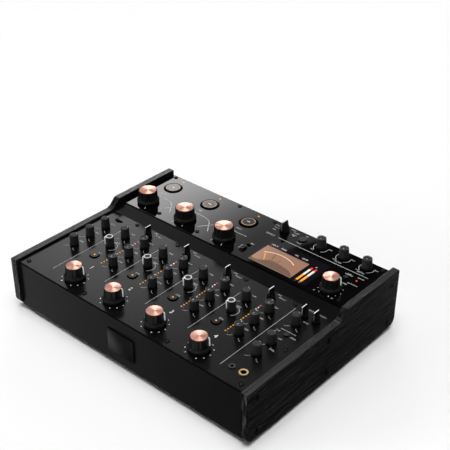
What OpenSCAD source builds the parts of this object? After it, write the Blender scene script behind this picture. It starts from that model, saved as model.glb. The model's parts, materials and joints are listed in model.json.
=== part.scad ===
// Four-channel rotary DJ mixer: a folded steel chassis between two wooden side cheeks, a matte channel
// deck in front, a raised glossy panel behind it, and knobs, buttons and switches on their own shafts.
// Millimetres, +X to the right, +Y to the rear, +Z up. The origin is under the middle, at the feet.

/* [Body] */
// Overall width over both side cheeks
body_w = 380; // [372:1:400]
// Depth of the side cheeks
body_d = 278.6; // [277:0.2:290]
// Thickness of a side cheek
cheek_t = 9.5; // [8:0.5:11]
// Height of a cheek over the channel deck, from its lower edge
front_h = 66.6; // [62:0.2:76]
// Height of a cheek over the rear panel, above its height at the front
step_h = 11.5; // [9:0.5:14]
// Depth at which the slope of a cheek starts, from the middle
slope_y = 23.6; // [22:0.2:26]
// Run of the cheek's slope from front to rear
slope_run = 11.2; // [9:0.2:13]
// Radius of the lower corners of a cheek
cheek_r = 9; // [5:0.5:12]
// Radius at the foot of the cheek's slope
slope_r = 10; // [4:1:16]
// Height of a foot
foot_h = 7; // [5:0.5:10]
// Radius of a foot
foot_r = 10; // [8:0.5:13]
// Inset of the feet from the sides and from the front
foot_inset = 26; // [22:1:40]

/* [Sheet metal] */
// Thickness of the chassis sheet
tray_t = 1.6; // [1.2:0.1:2]
// Thickness of the channel deck
deck_t = 2; // [1.5:0.1:2.4]
// Thickness of the glossy rear panel
panel_t = 1.9; // [1.5:0.1:2.4]
// Drop of the channel deck below the top of the cheeks
deck_drop = 2.85; // [2:0.05:4]
// Drop of the rear panel below the top of the cheeks
panel_drop = 6.25; // [5:0.05:8]
// Run of the riser between the deck and the rear panel
riser_run = 16.4; // [14:0.2:18]
// Distance of the front wall behind the front of the cheeks
front_setback = 3.2; // [2:0.1:5]
// Distance of the rear panel's edge from the rear of the cheeks
panel_setback = 1.2; // [0.8:0.1:2]
// Depth of the socket bay under the rear panel
bay_depth = 8.6; // [8:0.1:10]
// Height of the socket bay above the lower edge of the cheeks
bay_h = 58; // [56:0.5:59]

/* [Channels] */
// Distance from one channel to the next
channel_pitch = 67.05; // [66:0.05:68]
// Middle of the first channel
channel_x = -101.6; // [-103:0.1:-100]
// Offset of the left column of controls from the middle of a channel
left_col = -19.4; // [-21:0.1:-18]
// Offset of the right column of controls from the middle of a channel
right_col = 14.9; // [14:0.1:17]
// Distance of the level knobs behind the front of the cheeks
level_inset = 26; // [25:0.1:28]
// First row of small controls
row_y = -65; // [-67:0.1:-63]
// Distance between rows of small controls
row_pitch = 26.6; // [26:0.1:27]
// Row of the input selectors
selector_y = 9.7; // [9:0.1:10]
// Length of a level meter
meter_len = 64; // [56:1:66]

/* [Microphone and headphone sections] */
// Distance of the microphone controls from the left cheek
mic_inset = 23.1; // [21:0.1:25]
// Row of the microphone switch
mic_switch_y = 10.9; // [10:0.1:11]
// Distance of the headphone knobs from the right cheek
phones_inset = 28.8; // [27:0.1:31]
// Row of the headphone level knob
phones_level_y = -79.2; // [-81:0.1:-77]
// Row of the headphone mix knob
phones_mix_y = -54.2; // [-57:0.1:-52]
// Row of the headphone split button
phones_button_y = -32.5; // [-34:0.1:-30]
// Row of the headphone tone knob
phones_tone_y = -10.3; // [-12:0.1:-9]
// Spacing of the two headphone selectors
phones_pair = 16.6; // [14:0.1:17]
// Row of the headphone selectors
phones_selector_y = 7.8; // [7:0.1:9]
// Distance of the headphone sockets behind the front of the cheeks
jack_inset = 27.5; // [26:0.1:29]
// Spacing of the headphone sockets
jack_pair = 16; // [15:0.1:18]

/* [Rear panel controls] */
// Distance of the first isolator knob from the left cheek
isolator_inset = 27.1; // [25:0.1:29]
// Row of the isolator knobs, the isolator switch and the master knob
isolator_y = 62.2; // [60:0.1:64]
// Distance of the boost buttons from the rear of the cheeks
boost_inset = 29.3; // [27.5:0.1:33]
// Distance of the isolator switch from the display
switch_gap = 14; // [12:0.1:16]
// Distance of the isolator switch from the last isolator knob
switch_reach = 34.3; // [32:0.1:36]
// Distance of the effect controls from the rear of the cheeks
effect_inset = 15.1; // [14.5:0.1:17]
// Distance of the last effect knob from the right cheek
effect_side = 26.5; // [25:0.1:28]
// Distance between the effect knobs
effect_pitch = 33.9; // [32:0.1:35]
// Distance of the tap button from the first effect knob
tap_gap = 28.2; // [26:0.1:30]
// Distance of the effect selector from the tap button
selector_gap = 29.6; // [28:0.1:31]
// Distance of the master knob from the right cheek
master_inset = 34.3; // [33:0.1:36]
// Button behind the master knob
aux_button_y = 92; // [90:0.1:94]

/* [Display] */
// Width of the display glass
glass_w = 90.4; // [84:0.2:91]
// Depth of the display glass
glass_d = 53; // [48:0.2:54]
// Distance of the display glass from the right cheek
glass_inset = 61.1; // [60:0.1:63]
// Middle of the display glass from front to rear
glass_y = 72.6; // [72:0.1:75]
// Thickness of the display glass
glass_t = 1.8; // [1.2:0.1:1.9]

/* [Knobs] */
// Radius of the metal cap on a level or master knob
cap_r = 9.7; // [9:0.1:10.5]
// Radius of the metal cap on an isolator knob
isolator_cap_r = 11.5; // [11:0.1:12.5]
// Height of a large knob above its panel
big_h = 18.4; // [17:0.1:20]
// Number of finger flutes around a large knob
flutes = 10; // [8:1:12]
// Depth of a finger flute
flute_depth = 0.9; // [0.5:0.1:1.2]
// Height of a small knob above its panel
small_h = 15; // [13:0.1:16]
// Radius of a small knob at its top
small_top_r = 5; // [4.6:0.1:5.4]
// Radius of a small knob at its foot
small_foot_r = 5.9; // [5.6:0.1:6.4]
// Radius of an effect knob at its top
effect_top_r = 5.5; // [5:0.1:6]
// Radius of an effect knob at its foot
effect_foot_r = 6.9; // [6:0.1:7.2]
// Foot radius of an input selector
selector_r = 5.2; // [4.6:0.1:5.6]
// Foot radius of the effect selector
effect_selector_r = 6.6; // [6:0.1:7.4]
// Thickness of a selector's finger blade at its top
blade_t = 1.8; // [1.4:0.1:2.2]
// Gap between a knob and its panel
knob_gap = 1; // [0.6:0.1:1.4]
// Radius of a control shaft
shaft_r = 3; // [2.5:0.1:3.1]

/* [Buttons and switches] */
// Radius of a cue button
cue_r = 5.5; // [5:0.1:6]
// Radius of a boost button
boost_r = 11.4; // [10:0.1:12]
// Radius of the tap button
tap_r = 5.9; // [5:0.1:6.5]
// Radius of the two small round buttons
round_r = 3.2; // [2.8:0.1:3.6]
// Height of a button above its panel
button_h = 1.5; // [1.3:0.1:2]
// Travel of a button
button_travel = 1.2; // [0.8:0.1:1.2]
// Travel of the microphone switch
mic_travel = 4; // [3:0.5:5]
// Travel of the isolator switch
isolator_travel = 6; // [4:0.5:7]

/* [Sockets] */
// Bore radius of a quarter-inch phone socket
phone_bore_r = 3.2; // [3.18:0.01:3.25]
// Bore radius of a mini phone socket
mini_bore_r = 1.8; // [1.76:0.01:1.85]
// Barrel radius of a phono socket
phono_r = 4.15; // [4.1:0.01:4.2]
// Length of a phono socket's barrel
phono_len = 7; // [6:0.1:7.5]

/* [Fits] */
// Radial clearance of a turning shaft
run_fit = 0.05; // [0.02:0.01:0.08]
// Clearance between a button or lever and its hole
slide_fit = 0.15; // [0.1:0.01:0.2]
// Clearance between parts that are set into each other
set_fit = 0.05; // [0.02:0.01:0.1]
// Clearance of a screw in its hole
screw_fit = 0.1; // [0.05:0.01:0.15]

/* [Hidden] */
$fn = 48;
eps = 0.01;

// Levels and edges of the housing
base_z = foot_h;
front_top = base_z + front_h;
rear_top = front_top + step_h;
deck_z = front_top - deck_drop;
panel_z = rear_top - panel_drop;
half_in = body_w / 2 - cheek_t;
cheek_front = -body_d / 2;
cheek_rear = body_d / 2;
wall_front = cheek_front + front_setback;
panel_rear = cheek_rear - panel_setback;
bay_wall = panel_rear - bay_depth;
riser_foot = slope_y + 0.3;
riser_top = riser_foot + riser_run;
flange_rear = riser_top + 13;
tray_top = deck_z - deck_t;
panel_under = panel_z - panel_t;
bay_z = base_z + bay_h;
front_flange = 14.8;

// Columns and rows of the controls
mic_x = -half_in + mic_inset;
phones_x = half_in - phones_inset;
glass_x = half_in - glass_inset - glass_w / 2;
master_x = half_in - master_inset;
isolator_x = -half_in + isolator_inset;
isolator_switch_x = glass_x - glass_w / 2 - switch_gap;
isolator_pitch = (isolator_switch_x - switch_reach - isolator_x) / 2;
effect_x = half_in - effect_side - 2 * effect_pitch;
tap_x = effect_x - tap_gap;
effect_selector_x = tap_x - selector_gap;
level_y = cheek_front + level_inset;
jack_y = cheek_front + jack_inset;
effect_y = cheek_rear - effect_inset;
boost_y = cheek_rear - boost_inset;

// Screws
screw_r = 1.5;
screw_len = 7;
head_r = 2.8;
head_h = 0.7;
screw_inset = 9.8;
pillar_r = 3.5;
deck_screw_y = wall_front + 9.2;
rail_y = riser_foot - 4.7;
rail_w = 10.8;
side_screw_y = -53.3;
panel_screw_y = panel_rear - 4.6;
flange_screw_y = riser_top + 9.8;
deck_screws = [
    [-half_in + screw_inset, deck_screw_y], [col(1) + 31.8, deck_screw_y], [col(3) + 31.8, deck_screw_y],
    [half_in - screw_inset, deck_screw_y],
    [half_in - screw_inset, side_screw_y],
    [col(1) - 29.4, rail_y], [col(2) - 24.1, rail_y], [col(3) + 21.2, rail_y], [col(4) + 28, rail_y]
];
panel_screws = [
    [-half_in + screw_inset, panel_screw_y], [isolator_at(2)[0] + 32.5, panel_screw_y],
    [effect_selector_x - 22.6, panel_screw_y], [half_in - screw_inset, panel_screw_y],
    [isolator_at(1)[0] + 32.5, flange_screw_y], [isolator_at(2)[0] + 32.5, flange_screw_y],
    [master_x + 20, flange_screw_y]
];
cheek_screw_r = 3.6;
cheek_screw_len = 11.5;
cheek_screw_z = 8.5;
cheek_screws = [
    for (y = [cheek_front + 15.8, 0]) [y, front_top - 12],
    [cheek_rear - 15, rear_top - 15.5],
    for (y = [cheek_front + 15.8, 0, cheek_rear - 16.5]) [y, base_z + cheek_screw_z]
];

// Control positions
function col(i) = channel_x + (i - 1) * channel_pitch;
function row(k) = row_y + (k - 1) * row_pitch;
function level_at(i) = [col(i), level_y];
function send_at(i) = [col(i) + left_col, row(2)];
function trim_at(i) = [col(i) + left_col, row(3)];
function eq_at(i, k) = [col(i) + right_col, row(k)];
function selector_at(i) = [col(i), selector_y];
function cue_at(i) = [col(i) + left_col + 0.7, row(1)];
function mic_at(k) = [mic_x, row(k)];
function isolator_at(i) = [isolator_x + (i - 1) * isolator_pitch, isolator_y];
function boost_at(i) = [isolator_at(i)[0], boost_y];
function effect_at(i) = [effect_x + (i - 1) * effect_pitch, effect_y];
function phones_selector_at(i) = [phones_x + 5.6 + (i - 1.5) * phones_pair, phones_selector_y];
master_at = [master_x, isolator_y - 1.1];
phones_level_at = [phones_x, phones_level_y];
phones_mix_at = [phones_x, phones_mix_y];
phones_tone_at = [phones_x, phones_tone_y];
phones_button_at = [phones_x + 3.5, phones_button_y];
effect_selector_at = [effect_selector_x, effect_y];
tap_at = [tap_x, effect_y - 0.6];
aux_button_at = [master_x, aux_button_y];
mini_jack_at = [phones_x + 1.2 - jack_pair / 2, jack_y];
phone_jack_at = [phones_x + 1.2 + jack_pair / 2, jack_y];
mic_switch_at = [mic_x + 0.7, mic_switch_y];
isolator_switch_at = [isolator_switch_x, isolator_y + 0.4];
deck_pots = [
    for (i = [1:4]) each [
        level_at(i), send_at(i), trim_at(i), eq_at(i, 1), eq_at(i, 2), eq_at(i, 3), selector_at(i)
    ],
    for (k = [1:3]) mic_at(k),
    phones_level_at, phones_mix_at, phones_tone_at, phones_selector_at(1), phones_selector_at(2)
];
panel_pots = [
    for (i = [1:3]) each [isolator_at(i), effect_at(i)], effect_selector_at, master_at
];

// Lamps: meters in the deck, single lamps beside the buttons
meter_w = 2.4;
lamp_r = 1.2;
meters = [for (i = [1:4]) [col(i), row(2) - 1.4]];
deck_lamps = [[mic_x + 0.9, riser_foot - 2.6]];
clip_lamp = [master_x + 13.6, aux_button_y + 2.4];
panel_lamps = [for (i = [1:3]) [boost_at(i)[0], boost_y + 20.6], clip_lamp];

// Shafts, bushings and pot bodies under a panel, from its upper face
bushing_r = shaft_r + 0.6;
pot_w = 9.4;
pot_d = 10.8;
pot_h = 6.8;
pot_drop = 0.2;
pin_gap = 0.1;
board_t = 1.6;
shaft_cover = 3.2;
bore_floor = 1.2;

// Buttons
flange_t = 1;
flange_w = 1.2;
stem_r = 1.7;
switch_h = 3.6;
stem_reach = 2.6;
big_stem = 2.6;

// Slide switches: slots, and the levers' length, width and height
mic_slot = [13, 5];
isolator_slot = [19.6, 7];
mic_lever = [5.6, 3.6, 2.2];
isolator_lever = [9.6, 5, 3];
lever_neck = 2;
slide_body_h = 5;

// Rear sockets
phono_pitch = 18;
phono_z = base_z + 22;
phono_plate = [13, 34, 2];
phono_room = [29.9, 30.95];
xlr_x = half_in - 21;
xlr_r = 8;
xlr_face = [26, 28];
xlr_depth = 15;
xlr_zs = [base_z + 15.5, base_z + 43.5];
rear_phone_x = xlr_x - 29;
rear_phone_zs = [base_z + 12, base_z + 30, base_z + 48];
inlet_x = -half_in + 23;
inlet_z = base_z + 26;
inlet_cavity = [24, 16, 15];
inlet_face = [30, 22];
rocker_x = inlet_x + 26;
rocker_w = 9;
rocker_h = 14;
rocker_tilt = 7;
rocker_pin_r = 1.2;
rocker_recess = 3;
socket_face_t = 2;
phono_first = rocker_x + phono_room[0];
phono_last = rear_phone_x - phono_room[1];
function phono_at(i, s) = phono_first + (i - 1) * (phono_last - phono_first) / 3 + s * phono_pitch / 2;

// Main board and mains supply on the floor
main_board_x = [-60, half_in - 40.5];
main_board_y = [wall_front + 56.1, bay_wall - 59.5];
board_stand = 6;
stand_inset = 10;
supply_size = [70, 110, 3];
supply_at = [-half_in + 8, bay_wall - 59.5 - supply_size[1]];

// ---- shared shapes ----

// Outline of a cheek, front at the left
module cheek_profile() {
    front = cheek_front;
    rear = cheek_rear;
    polygon([
        [front + cheek_r, base_z], [rear - cheek_r, base_z], [rear, base_z + cheek_r], [rear, rear_top],
        [slope_y + slope_run, rear_top], [slope_y, front_top], [front, front_top], [front, base_z + cheek_r]
    ]);
    for (y = [front + cheek_r, rear - cheek_r]) translate([y, base_z + cheek_r]) circle(cheek_r);
    rise = atan2(step_h, slope_run);
    reach = slope_r * tan(rise / 2);
    difference() {
        polygon([
            [slope_y - reach, front_top], [slope_y, front_top - 1], [slope_y + reach, front_top],
            [slope_y + reach * cos(rise), front_top + reach * sin(rise)]
        ]);
        translate([slope_y - reach, front_top + slope_r]) circle(slope_r, $fn = 96);
    }
}

// Closed outline of the chassis under the deck and the rear panel
module tray_outline() {
    polygon([
        [wall_front, base_z], [bay_wall, base_z], [bay_wall, bay_z], [panel_rear, bay_z],
        [panel_rear, panel_under], [flange_rear + 0.3, panel_under], [flange_rear + 0.3, panel_under - deck_t],
        [riser_top + 0.4, panel_under - deck_t], [riser_foot + 0.4, tray_top], [wall_front, tray_top]
    ]);
}

// The chassis sheet itself: front flange, front wall, floor, bay wall, ledge and rear lip
module tray_section() {
    t = tray_t;
    polygon([
        [wall_front, base_z], [bay_wall, base_z], [bay_wall, bay_z], [panel_rear, bay_z],
        [panel_rear, panel_under], [panel_rear - t, panel_under], [panel_rear - t, bay_z + t],
        [bay_wall - t, bay_z + t], [bay_wall - t, base_z + t], [wall_front + t, base_z + t],
        [wall_front + t, tray_top - t], [wall_front + front_flange, tray_top - t],
        [wall_front + front_flange, tray_top],
        [wall_front, tray_top]
    ]);
}

// Upper sheet: channel deck, riser and the flange that carries the rear panel
module deck_section() {
    t = deck_t;
    lip = 1.2;
    polygon([
        [wall_front, deck_z - t], [wall_front, deck_z - lip], [wall_front + lip, deck_z], [riser_foot, deck_z],
        [riser_top, panel_under], [flange_rear, panel_under], [flange_rear, panel_under - t],
        [riser_top + 0.4, panel_under - t], [riser_foot + 0.4, deck_z - t]
    ]);
}

// Turns a front-to-rear section into a bar across the housing
module across(x0, x1) {
    translate([x0, 0, 0]) rotate([90, 0, 90]) linear_extrude(x1 - x0) children();
}

module at(p, z) {
    translate([p[0], p[1], z]) children();
}

// Slot with round ends, its long side along X
module slot(size, h) {
    r = size[1] / 2;
    run = size[0] / 2 - r;
    translate([-run, -r, 0]) cube([2 * run, size[1], h]);
    for (s = [-1, 1]) translate([s * run, 0, 0]) cylinder(r = r, h = h);
}

module rounded_plate(size, r, h) {
    translate([-size[0] / 2 + r, -size[1] / 2, 0]) cube([size[0] - 2 * r, size[1], h]);
    translate([-size[0] / 2, -size[1] / 2 + r, 0]) cube([size[0], size[1] - 2 * r, h]);
    for (x = [-1, 1], y = [-1, 1])
        translate([x * (size[0] / 2 - r), y * (size[1] / 2 - r), 0]) cylinder(r = r, h = h);
}

// ---- knobs, drawn with the panel's upper face at z = 0 ----

module control_shaft(h, sheet) {
    foot = -sheet - pot_drop - pot_h + bore_floor + 0.3;
    color("silver") translate([0, 0, foot]) cylinder(r = shaft_r, h = h - shaft_cover - set_fit - foot);
}

module shaft_bore(h) {
    translate([0, 0, -eps]) cylinder(r = shaft_r + set_fit, h = h - shaft_cover + eps);
}

// Large knob: a skirt, a fluted grip and a recess for the metal cap
module big_knob(r, sheet) {
    grip_top = r + 0.9;
    grip_foot = r + 2.1;
    skirt = r + 3.3;
    taper = atan((grip_foot - grip_top) / (big_h - 7));
    flute_r = 5;
    color("#1b1b1c") difference() {
        rotate_extrude() polygon([
            [0, knob_gap], [skirt - 0.8, knob_gap], [skirt, knob_gap + 0.8], [skirt, 4.1], [skirt - 0.5, 4.6],
            [grip_foot + 0.3, 6.2], [grip_foot, 7], [grip_top, big_h - 1], [grip_top - 0.5, big_h - 0.4],
            [0, big_h - 0.4]
        ]);
        for (i = [0:flutes - 1]) rotate([0, 0, (i + 0.5) * 360 / flutes])
            translate([grip_foot + flute_r - flute_depth, 0, 6.6]) rotate([0, -taper, 0])
                cylinder(r = flute_r, h = big_h);
        translate([0, 0, big_h - 1.4]) cylinder(r = r + set_fit, h = 2);
        shaft_bore(big_h);
    }
    color("#c98f7c") translate([0, 0, big_h - 1.4 + set_fit]) rotate_extrude() polygon([
        [0, 0], [r, 0], [r, 1.1 - set_fit], [r - 0.3, 1.4 - set_fit], [0, 1.4 - set_fit]
    ]);
    control_shaft(big_h, sheet);
}

// Small knob: a tapered cap with an eased rim and a short collar at its foot
module small_knob(top_r, foot_r, sheet) {
    color("#202021") difference() {
        rotate_extrude() polygon([
            [0, knob_gap], [foot_r - 0.5, knob_gap], [foot_r, knob_gap + 0.5], [foot_r, knob_gap + 1.8],
            [foot_r - 0.4, knob_gap + 2.2], [top_r, small_h - 0.9], [top_r - 0.25, small_h - 0.25],
            [top_r - 0.9, small_h], [0, small_h]
        ]);
        shaft_bore(small_h);
    }
    control_shaft(small_h, sheet);
}

// Selector knob: a collar that two scooped flanks turn into a narrow finger blade along Y
module pointer_knob(r, sheet) {
    collar = 3.4;
    body = r - 0.7;
    rise = small_h - collar;
    side = body - blade_t / 2;
    scoop_r = (rise * rise + side * side) / (2 * side);
    color("#202021") difference() {
        rotate_extrude() polygon([
            [0, knob_gap], [r - 0.4, knob_gap], [r, knob_gap + 0.4], [r, collar - 0.5], [r - 0.5, collar],
            [body, collar + 0.3], [body - 0.3, small_h - 0.4], [body - 0.7, small_h], [0, small_h]
        ]);
        for (s = [-1, 1]) translate([s * (blade_t / 2 + scoop_r), 0, small_h]) rotate([90, 0, 0])
            cylinder(r = scoop_r, h = 4 * r, center = true, $fn = 96);
        translate([0, 0, -eps]) cylinder(r = 1.6 + set_fit, h = 8 + eps);
    }
    foot = -sheet - pot_drop - pot_h + bore_floor + 0.3;
    color("silver") {
        translate([0, 0, foot]) cylinder(r = shaft_r, h = knob_gap - set_fit - foot);
        translate([0, 0, knob_gap - set_fit - eps]) cylinder(r = 1.6, h = 8 - knob_gap + eps);
    }
}

// Push button: cap, retaining flange under the panel and stem
module push_button(r, sheet, stem = stem_r) {
    under = -sheet - 0.3;
    color("#262627") {
        rotate_extrude() polygon([
            [0, under], [r, under], [r, button_h - 0.3], [r - 0.3, button_h], [0, button_h]
        ]);
        translate([0, 0, under - flange_t]) cylinder(r = r + flange_w, h = flange_t + eps);
        translate([0, 0, under - flange_t - stem_reach]) cylinder(r = stem, h = stem_reach + eps);
    }
}

// Slide switch lever: a round-ended block with finger grooves over its slot, and a neck into the switch
module slide_lever(size, sheet) {
    color("#2a2a2b") {
        difference() {
            translate([0, 0, 0.3]) slot([size[0], size[1]], size[2] - 0.3);
            for (x = [-1, 0, 1]) translate([x * 1.6, 0, size[2]]) rotate([90, 0, 0])
                cylinder(r = 0.4, h = size[1] + 1, center = true);
        }
        translate([-lever_neck / 2, -size[1] / 4, -sheet - slide_body_h + 1])
            cube([lever_neck, size[1] / 2, sheet + slide_body_h - 0.6]);
    }
}

// ---- fixed pieces ----

module bottom_tray() {
    color("#161617") difference() {
        union() {
            across(-half_in, half_in) tray_section();
            for (x = [-half_in, half_in - tray_t]) across(x, x + tray_t) tray_outline();
            translate([-half_in, rail_y - 3, tray_top - tray_t]) cube([2 * half_in, rail_w, tray_t]);
            translate([-half_in, rail_y - 3 + rail_w - tray_t, tray_top - 14])
                cube([2 * half_in, tray_t, 14 - eps]);
            translate([half_in - screw_inset - 6, side_screw_y - 6, tray_top - tray_t])
                cube([screw_inset + 6, 12, tray_t]);
            for (i = [0:3]) at(panel_screws[i], bay_z) cylinder(r = pillar_r, h = panel_under - bay_z);
        }
        for (p = deck_screws) at(p, tray_top - 3) cylinder(r = screw_r + screw_fit, h = 4);
        for (i = [0:3]) at(panel_screws[i], panel_under - 6) cylinder(r = screw_r + screw_fit, h = 7);
        for (p = deck_lamps) at(p, tray_top - 3) cylinder(r = lamp_r + 0.6, h = 4);
        for (s = cheek_screws, x = [-1, 1]) translate([x * half_in, s[0], s[1]]) rotate([0, 90, 0])
            cylinder(r = screw_r + screw_fit, h = 4 * tray_t, center = true);
        for (p = feet_at()) at(p, base_z - 1) cylinder(r = screw_r + screw_fit, h = tray_t + 2);
        rear_cutouts();
    }
}

function feet_at() = [
    for (x = [-1, 1]) each [
        [x * (half_in - foot_inset), wall_front + foot_inset], [x * (half_in - foot_inset), bay_wall - foot_inset]
    ]
];

module channel_deck() {
    color("#232324") difference() {
        across(-half_in, half_in) deck_section();
        for (p = deck_pots) at(p, deck_z - deck_t - 1) cylinder(r = bushing_r + set_fit, h = deck_t + 2);
        for (i = [1:4]) at(cue_at(i), deck_z - deck_t - 1) cylinder(r = cue_r + slide_fit, h = deck_t + 2);
        at(phones_button_at, deck_z - deck_t - 1) cylinder(r = round_r + slide_fit, h = deck_t + 2);
        at(mic_switch_at, deck_z - deck_t - 1) slot(mic_slot, deck_t + 2);
        for (p = meters) at(p, deck_z - deck_t - 1) rotate([0, 0, 90])
            slot([meter_len, meter_w] + [1, 1] * 2 * set_fit, deck_t + 2);
        for (p = deck_lamps) at(p, deck_z - deck_t - 1) cylinder(r = lamp_r + set_fit, h = deck_t + 2);
        at(mini_jack_at, deck_z - deck_t - 1) cylinder(r = 3.6 + set_fit, h = deck_t + 2);
        at(phone_jack_at, deck_z - deck_t - 1) cylinder(r = 4.8 + set_fit, h = deck_t + 2);
        for (p = deck_screws) at(p, deck_z - deck_t - 1) cylinder(r = screw_r + screw_fit, h = deck_t + 2);
        for (i = [4:6]) at(panel_screws[i], panel_under - deck_t - 1)
            cylinder(r = screw_r + screw_fit, h = deck_t + 2);
        translate([glass_x - glass_w / 2 - 1, riser_top + 2.6, panel_under - deck_t - 1])
            cube([glass_w + 2, flange_rear, deck_t + 2]);
        at(isolator_switch_at, panel_under - deck_t - 1) rotate([0, 0, 90]) slot(isolator_slot, deck_t + 2);
        for (p = [for (i = [1:3]) isolator_at(i), master_at]) at(p, panel_under - deck_t - 1)
            cylinder(r = pot_d, h = deck_t + 2);
    }
}

module rear_panel() {
    under = panel_z - panel_t - 1;
    h = panel_t + 2;
    color("#0c0c0e") difference() {
        translate([-half_in, riser_top, panel_z - panel_t]) cube([2 * half_in, panel_rear - riser_top, panel_t]);
        for (p = panel_pots) at(p, under) cylinder(r = bushing_r + set_fit, h = h);
        for (i = [1:3]) at(boost_at(i), under) cylinder(r = boost_r + slide_fit, h = h);
        at(tap_at, under) cylinder(r = tap_r + slide_fit, h = h);
        at(aux_button_at, under) cylinder(r = round_r + slide_fit, h = h);
        at(isolator_switch_at, under) rotate([0, 0, 90]) slot(isolator_slot, h);
        for (p = panel_lamps) at(p, under) cylinder(r = lamp_r + set_fit, h = h);
        for (p = panel_screws) at(p, under) cylinder(r = screw_r + screw_fit, h = h);
        at([glass_x, glass_y], under) rounded_plate([glass_w, glass_d] + [1, 1] * 2 * set_fit, 1.5, h);
    }
}

// Cheek with an eased upper edge and countersunk screw holes; side is -1 on the left and 1 on the right
module cheek(side) {
    inner = side * half_in;
    edge = 0.8 * sqrt(2);
    ridge = [
        [cheek_front, front_top], [slope_y, front_top], [slope_y + slope_run, rear_top], [cheek_rear, rear_top]
    ];
    color("#1d1a18") difference() {
        across(min(inner, side * body_w / 2), max(inner, side * body_w / 2)) cheek_profile();
        for (s = cheek_screws) translate([side * body_w / 2, s[0], s[1]]) rotate([0, -side * 90, 0]) {
            translate([0, 0, -1]) cylinder(r = cheek_screw_r + screw_fit, h = 1.6);
            cylinder(r1 = cheek_screw_r + screw_fit + 0.6, r2 = screw_r + screw_fit, h = 2.8);
            cylinder(r = screw_r + screw_fit, h = 2 * cheek_t);
        }
        for (i = [0:2]) {
            run = ridge[i + 1] - ridge[i];
            translate([side * body_w / 2, ridge[i][0], ridge[i][1]]) rotate([atan2(run[1], run[0]), 0, 0])
                rotate([0, 45, 0]) translate([-edge / 2, 0, -edge / 2]) cube([edge, norm(run), edge]);
        }
    }
}

module left_cheek() {
    cheek(-1);
}

module right_cheek() {
    cheek(1);
}

module display_glass() {
    color("#2a2630") at([glass_x, glass_y], panel_z - glass_t) rounded_plate([glass_w, glass_d], 1.5, glass_t);
}

// Potentiometer or rotary switch: a case with a bored bushing that stands up into the panel
module pot(sheet) {
    top = -sheet - pot_drop;
    difference() {
        union() {
            translate([-pot_w / 2, -pot_d / 2, top - pot_h]) cube([pot_w, pot_d, pot_h]);
            translate([0, 0, top - eps]) cylinder(r = bushing_r, h = -top - 0.2 + eps);
        }
        translate([0, 0, top - pot_h + bore_floor]) cylinder(r = shaft_r + run_fit, h = pot_h + sheet + 2);
    }
}

// Key switch that a button's stem works in
module key_switch(sheet, stem = stem_r) {
    board = -sheet - pot_drop - pot_h;
    difference() {
        translate([-3 - stem + stem_r, -3 - stem + stem_r, board])
            cube([6 + 2 * (stem - stem_r), 6 + 2 * (stem - stem_r), switch_h]);
        translate([0, 0, board + 0.6]) cylinder(r = stem + run_fit * 2, h = switch_h);
    }
}

module slide_body(size, travel, sheet) {
    well = lever_neck + travel + 0.6;
    top = -sheet - pot_drop;
    difference() {
        translate([-well / 2 - 2, -size[1] / 2 - 1.5, top - pot_h]) cube([well + 4, size[1] + 3, pot_h]);
        translate([-well / 2, -size[1] / 4 - slide_fit, top - slide_body_h + 0.2])
            cube([well, size[1] / 2 + 2 * slide_fit, slide_body_h]);
    }
}

module control_boards() {
    deck_board = deck_z - deck_t - pot_drop - pot_h - pin_gap;
    panel_board = panel_z - panel_t - pot_drop - pot_h - pin_gap;
    front = wall_front + front_flange + 1.2;
    back = riser_foot + 0.4;
    panel_front = riser_top + 4.6;
    panel_back = panel_rear - tray_t - 1;
    lamp_floor = pot_drop + pot_h;
    color("#1f5a3a") {
        difference() {
            translate([-half_in + 6, front, deck_board - board_t]) cube([2 * half_in - 12, back - front, board_t]);
            translate([mini_jack_at[0] - 7, front - 1, deck_board - board_t - 1])
                cube([half_in, jack_y + 9.2 - front, board_t + 2]);
        }
        difference() {
            translate([-half_in + 6, panel_front, panel_board - board_t])
                cube([2 * half_in - 12, panel_back - panel_front, board_t]);
            for (i = [0:3]) at(panel_screws[i], panel_board - board_t - 1) cylinder(r = 4.5, h = board_t + 2);
        }
        translate([main_board_x[0], main_board_y[0], base_z + tray_t + board_stand])
            cube([main_board_x[1] - main_board_x[0], main_board_y[1] - main_board_y[0], board_t]);
        for (x = main_board_x + [1, -1] * stand_inset, y = main_board_y + [1, -1] * stand_inset)
            translate([x, y, base_z + tray_t]) cylinder(r = 3, h = board_stand);
    }
    color("#3a3a3c") {
        for (p = deck_pots) at(p, deck_z) pot(deck_t);
        for (p = panel_pots) at(p, panel_z) pot(panel_t);
        for (i = [1:4]) at(cue_at(i), deck_z) key_switch(deck_t);
        at(phones_button_at, deck_z) key_switch(deck_t);
        for (i = [1:3]) at(boost_at(i), panel_z) key_switch(panel_t, big_stem);
        for (p = [tap_at, aux_button_at]) at(p, panel_z) key_switch(panel_t);
        at(mic_switch_at, deck_z) slide_body(mic_lever, mic_travel, deck_t);
        at(isolator_switch_at, panel_z) rotate([0, 0, 90]) slide_body(isolator_lever, isolator_travel, panel_t);
    }
    color("#ffb45a") {
        for (p = meters) at(p, deck_z - deck_t - lamp_floor) rotate([0, 0, 90])
            slot([meter_len, meter_w], deck_t + lamp_floor);
        for (p = deck_lamps) at(p, deck_z - deck_t - lamp_floor) cylinder(r = lamp_r, h = deck_t + lamp_floor);
        for (p = panel_lamps) at(p, panel_z - panel_t - lamp_floor)
            cylinder(r = lamp_r, h = panel_t + lamp_floor);
    }
    color("#0d0d10") at([glass_x, glass_y], panel_board + pin_gap)
        translate([-glass_w / 2 + 1, -glass_d / 2 + 1, 0])
            cube([glass_w - 2, glass_d - 2, panel_z - glass_t - set_fit - panel_board - pin_gap]);
    color("#8f9195") power_supply();
}

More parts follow.
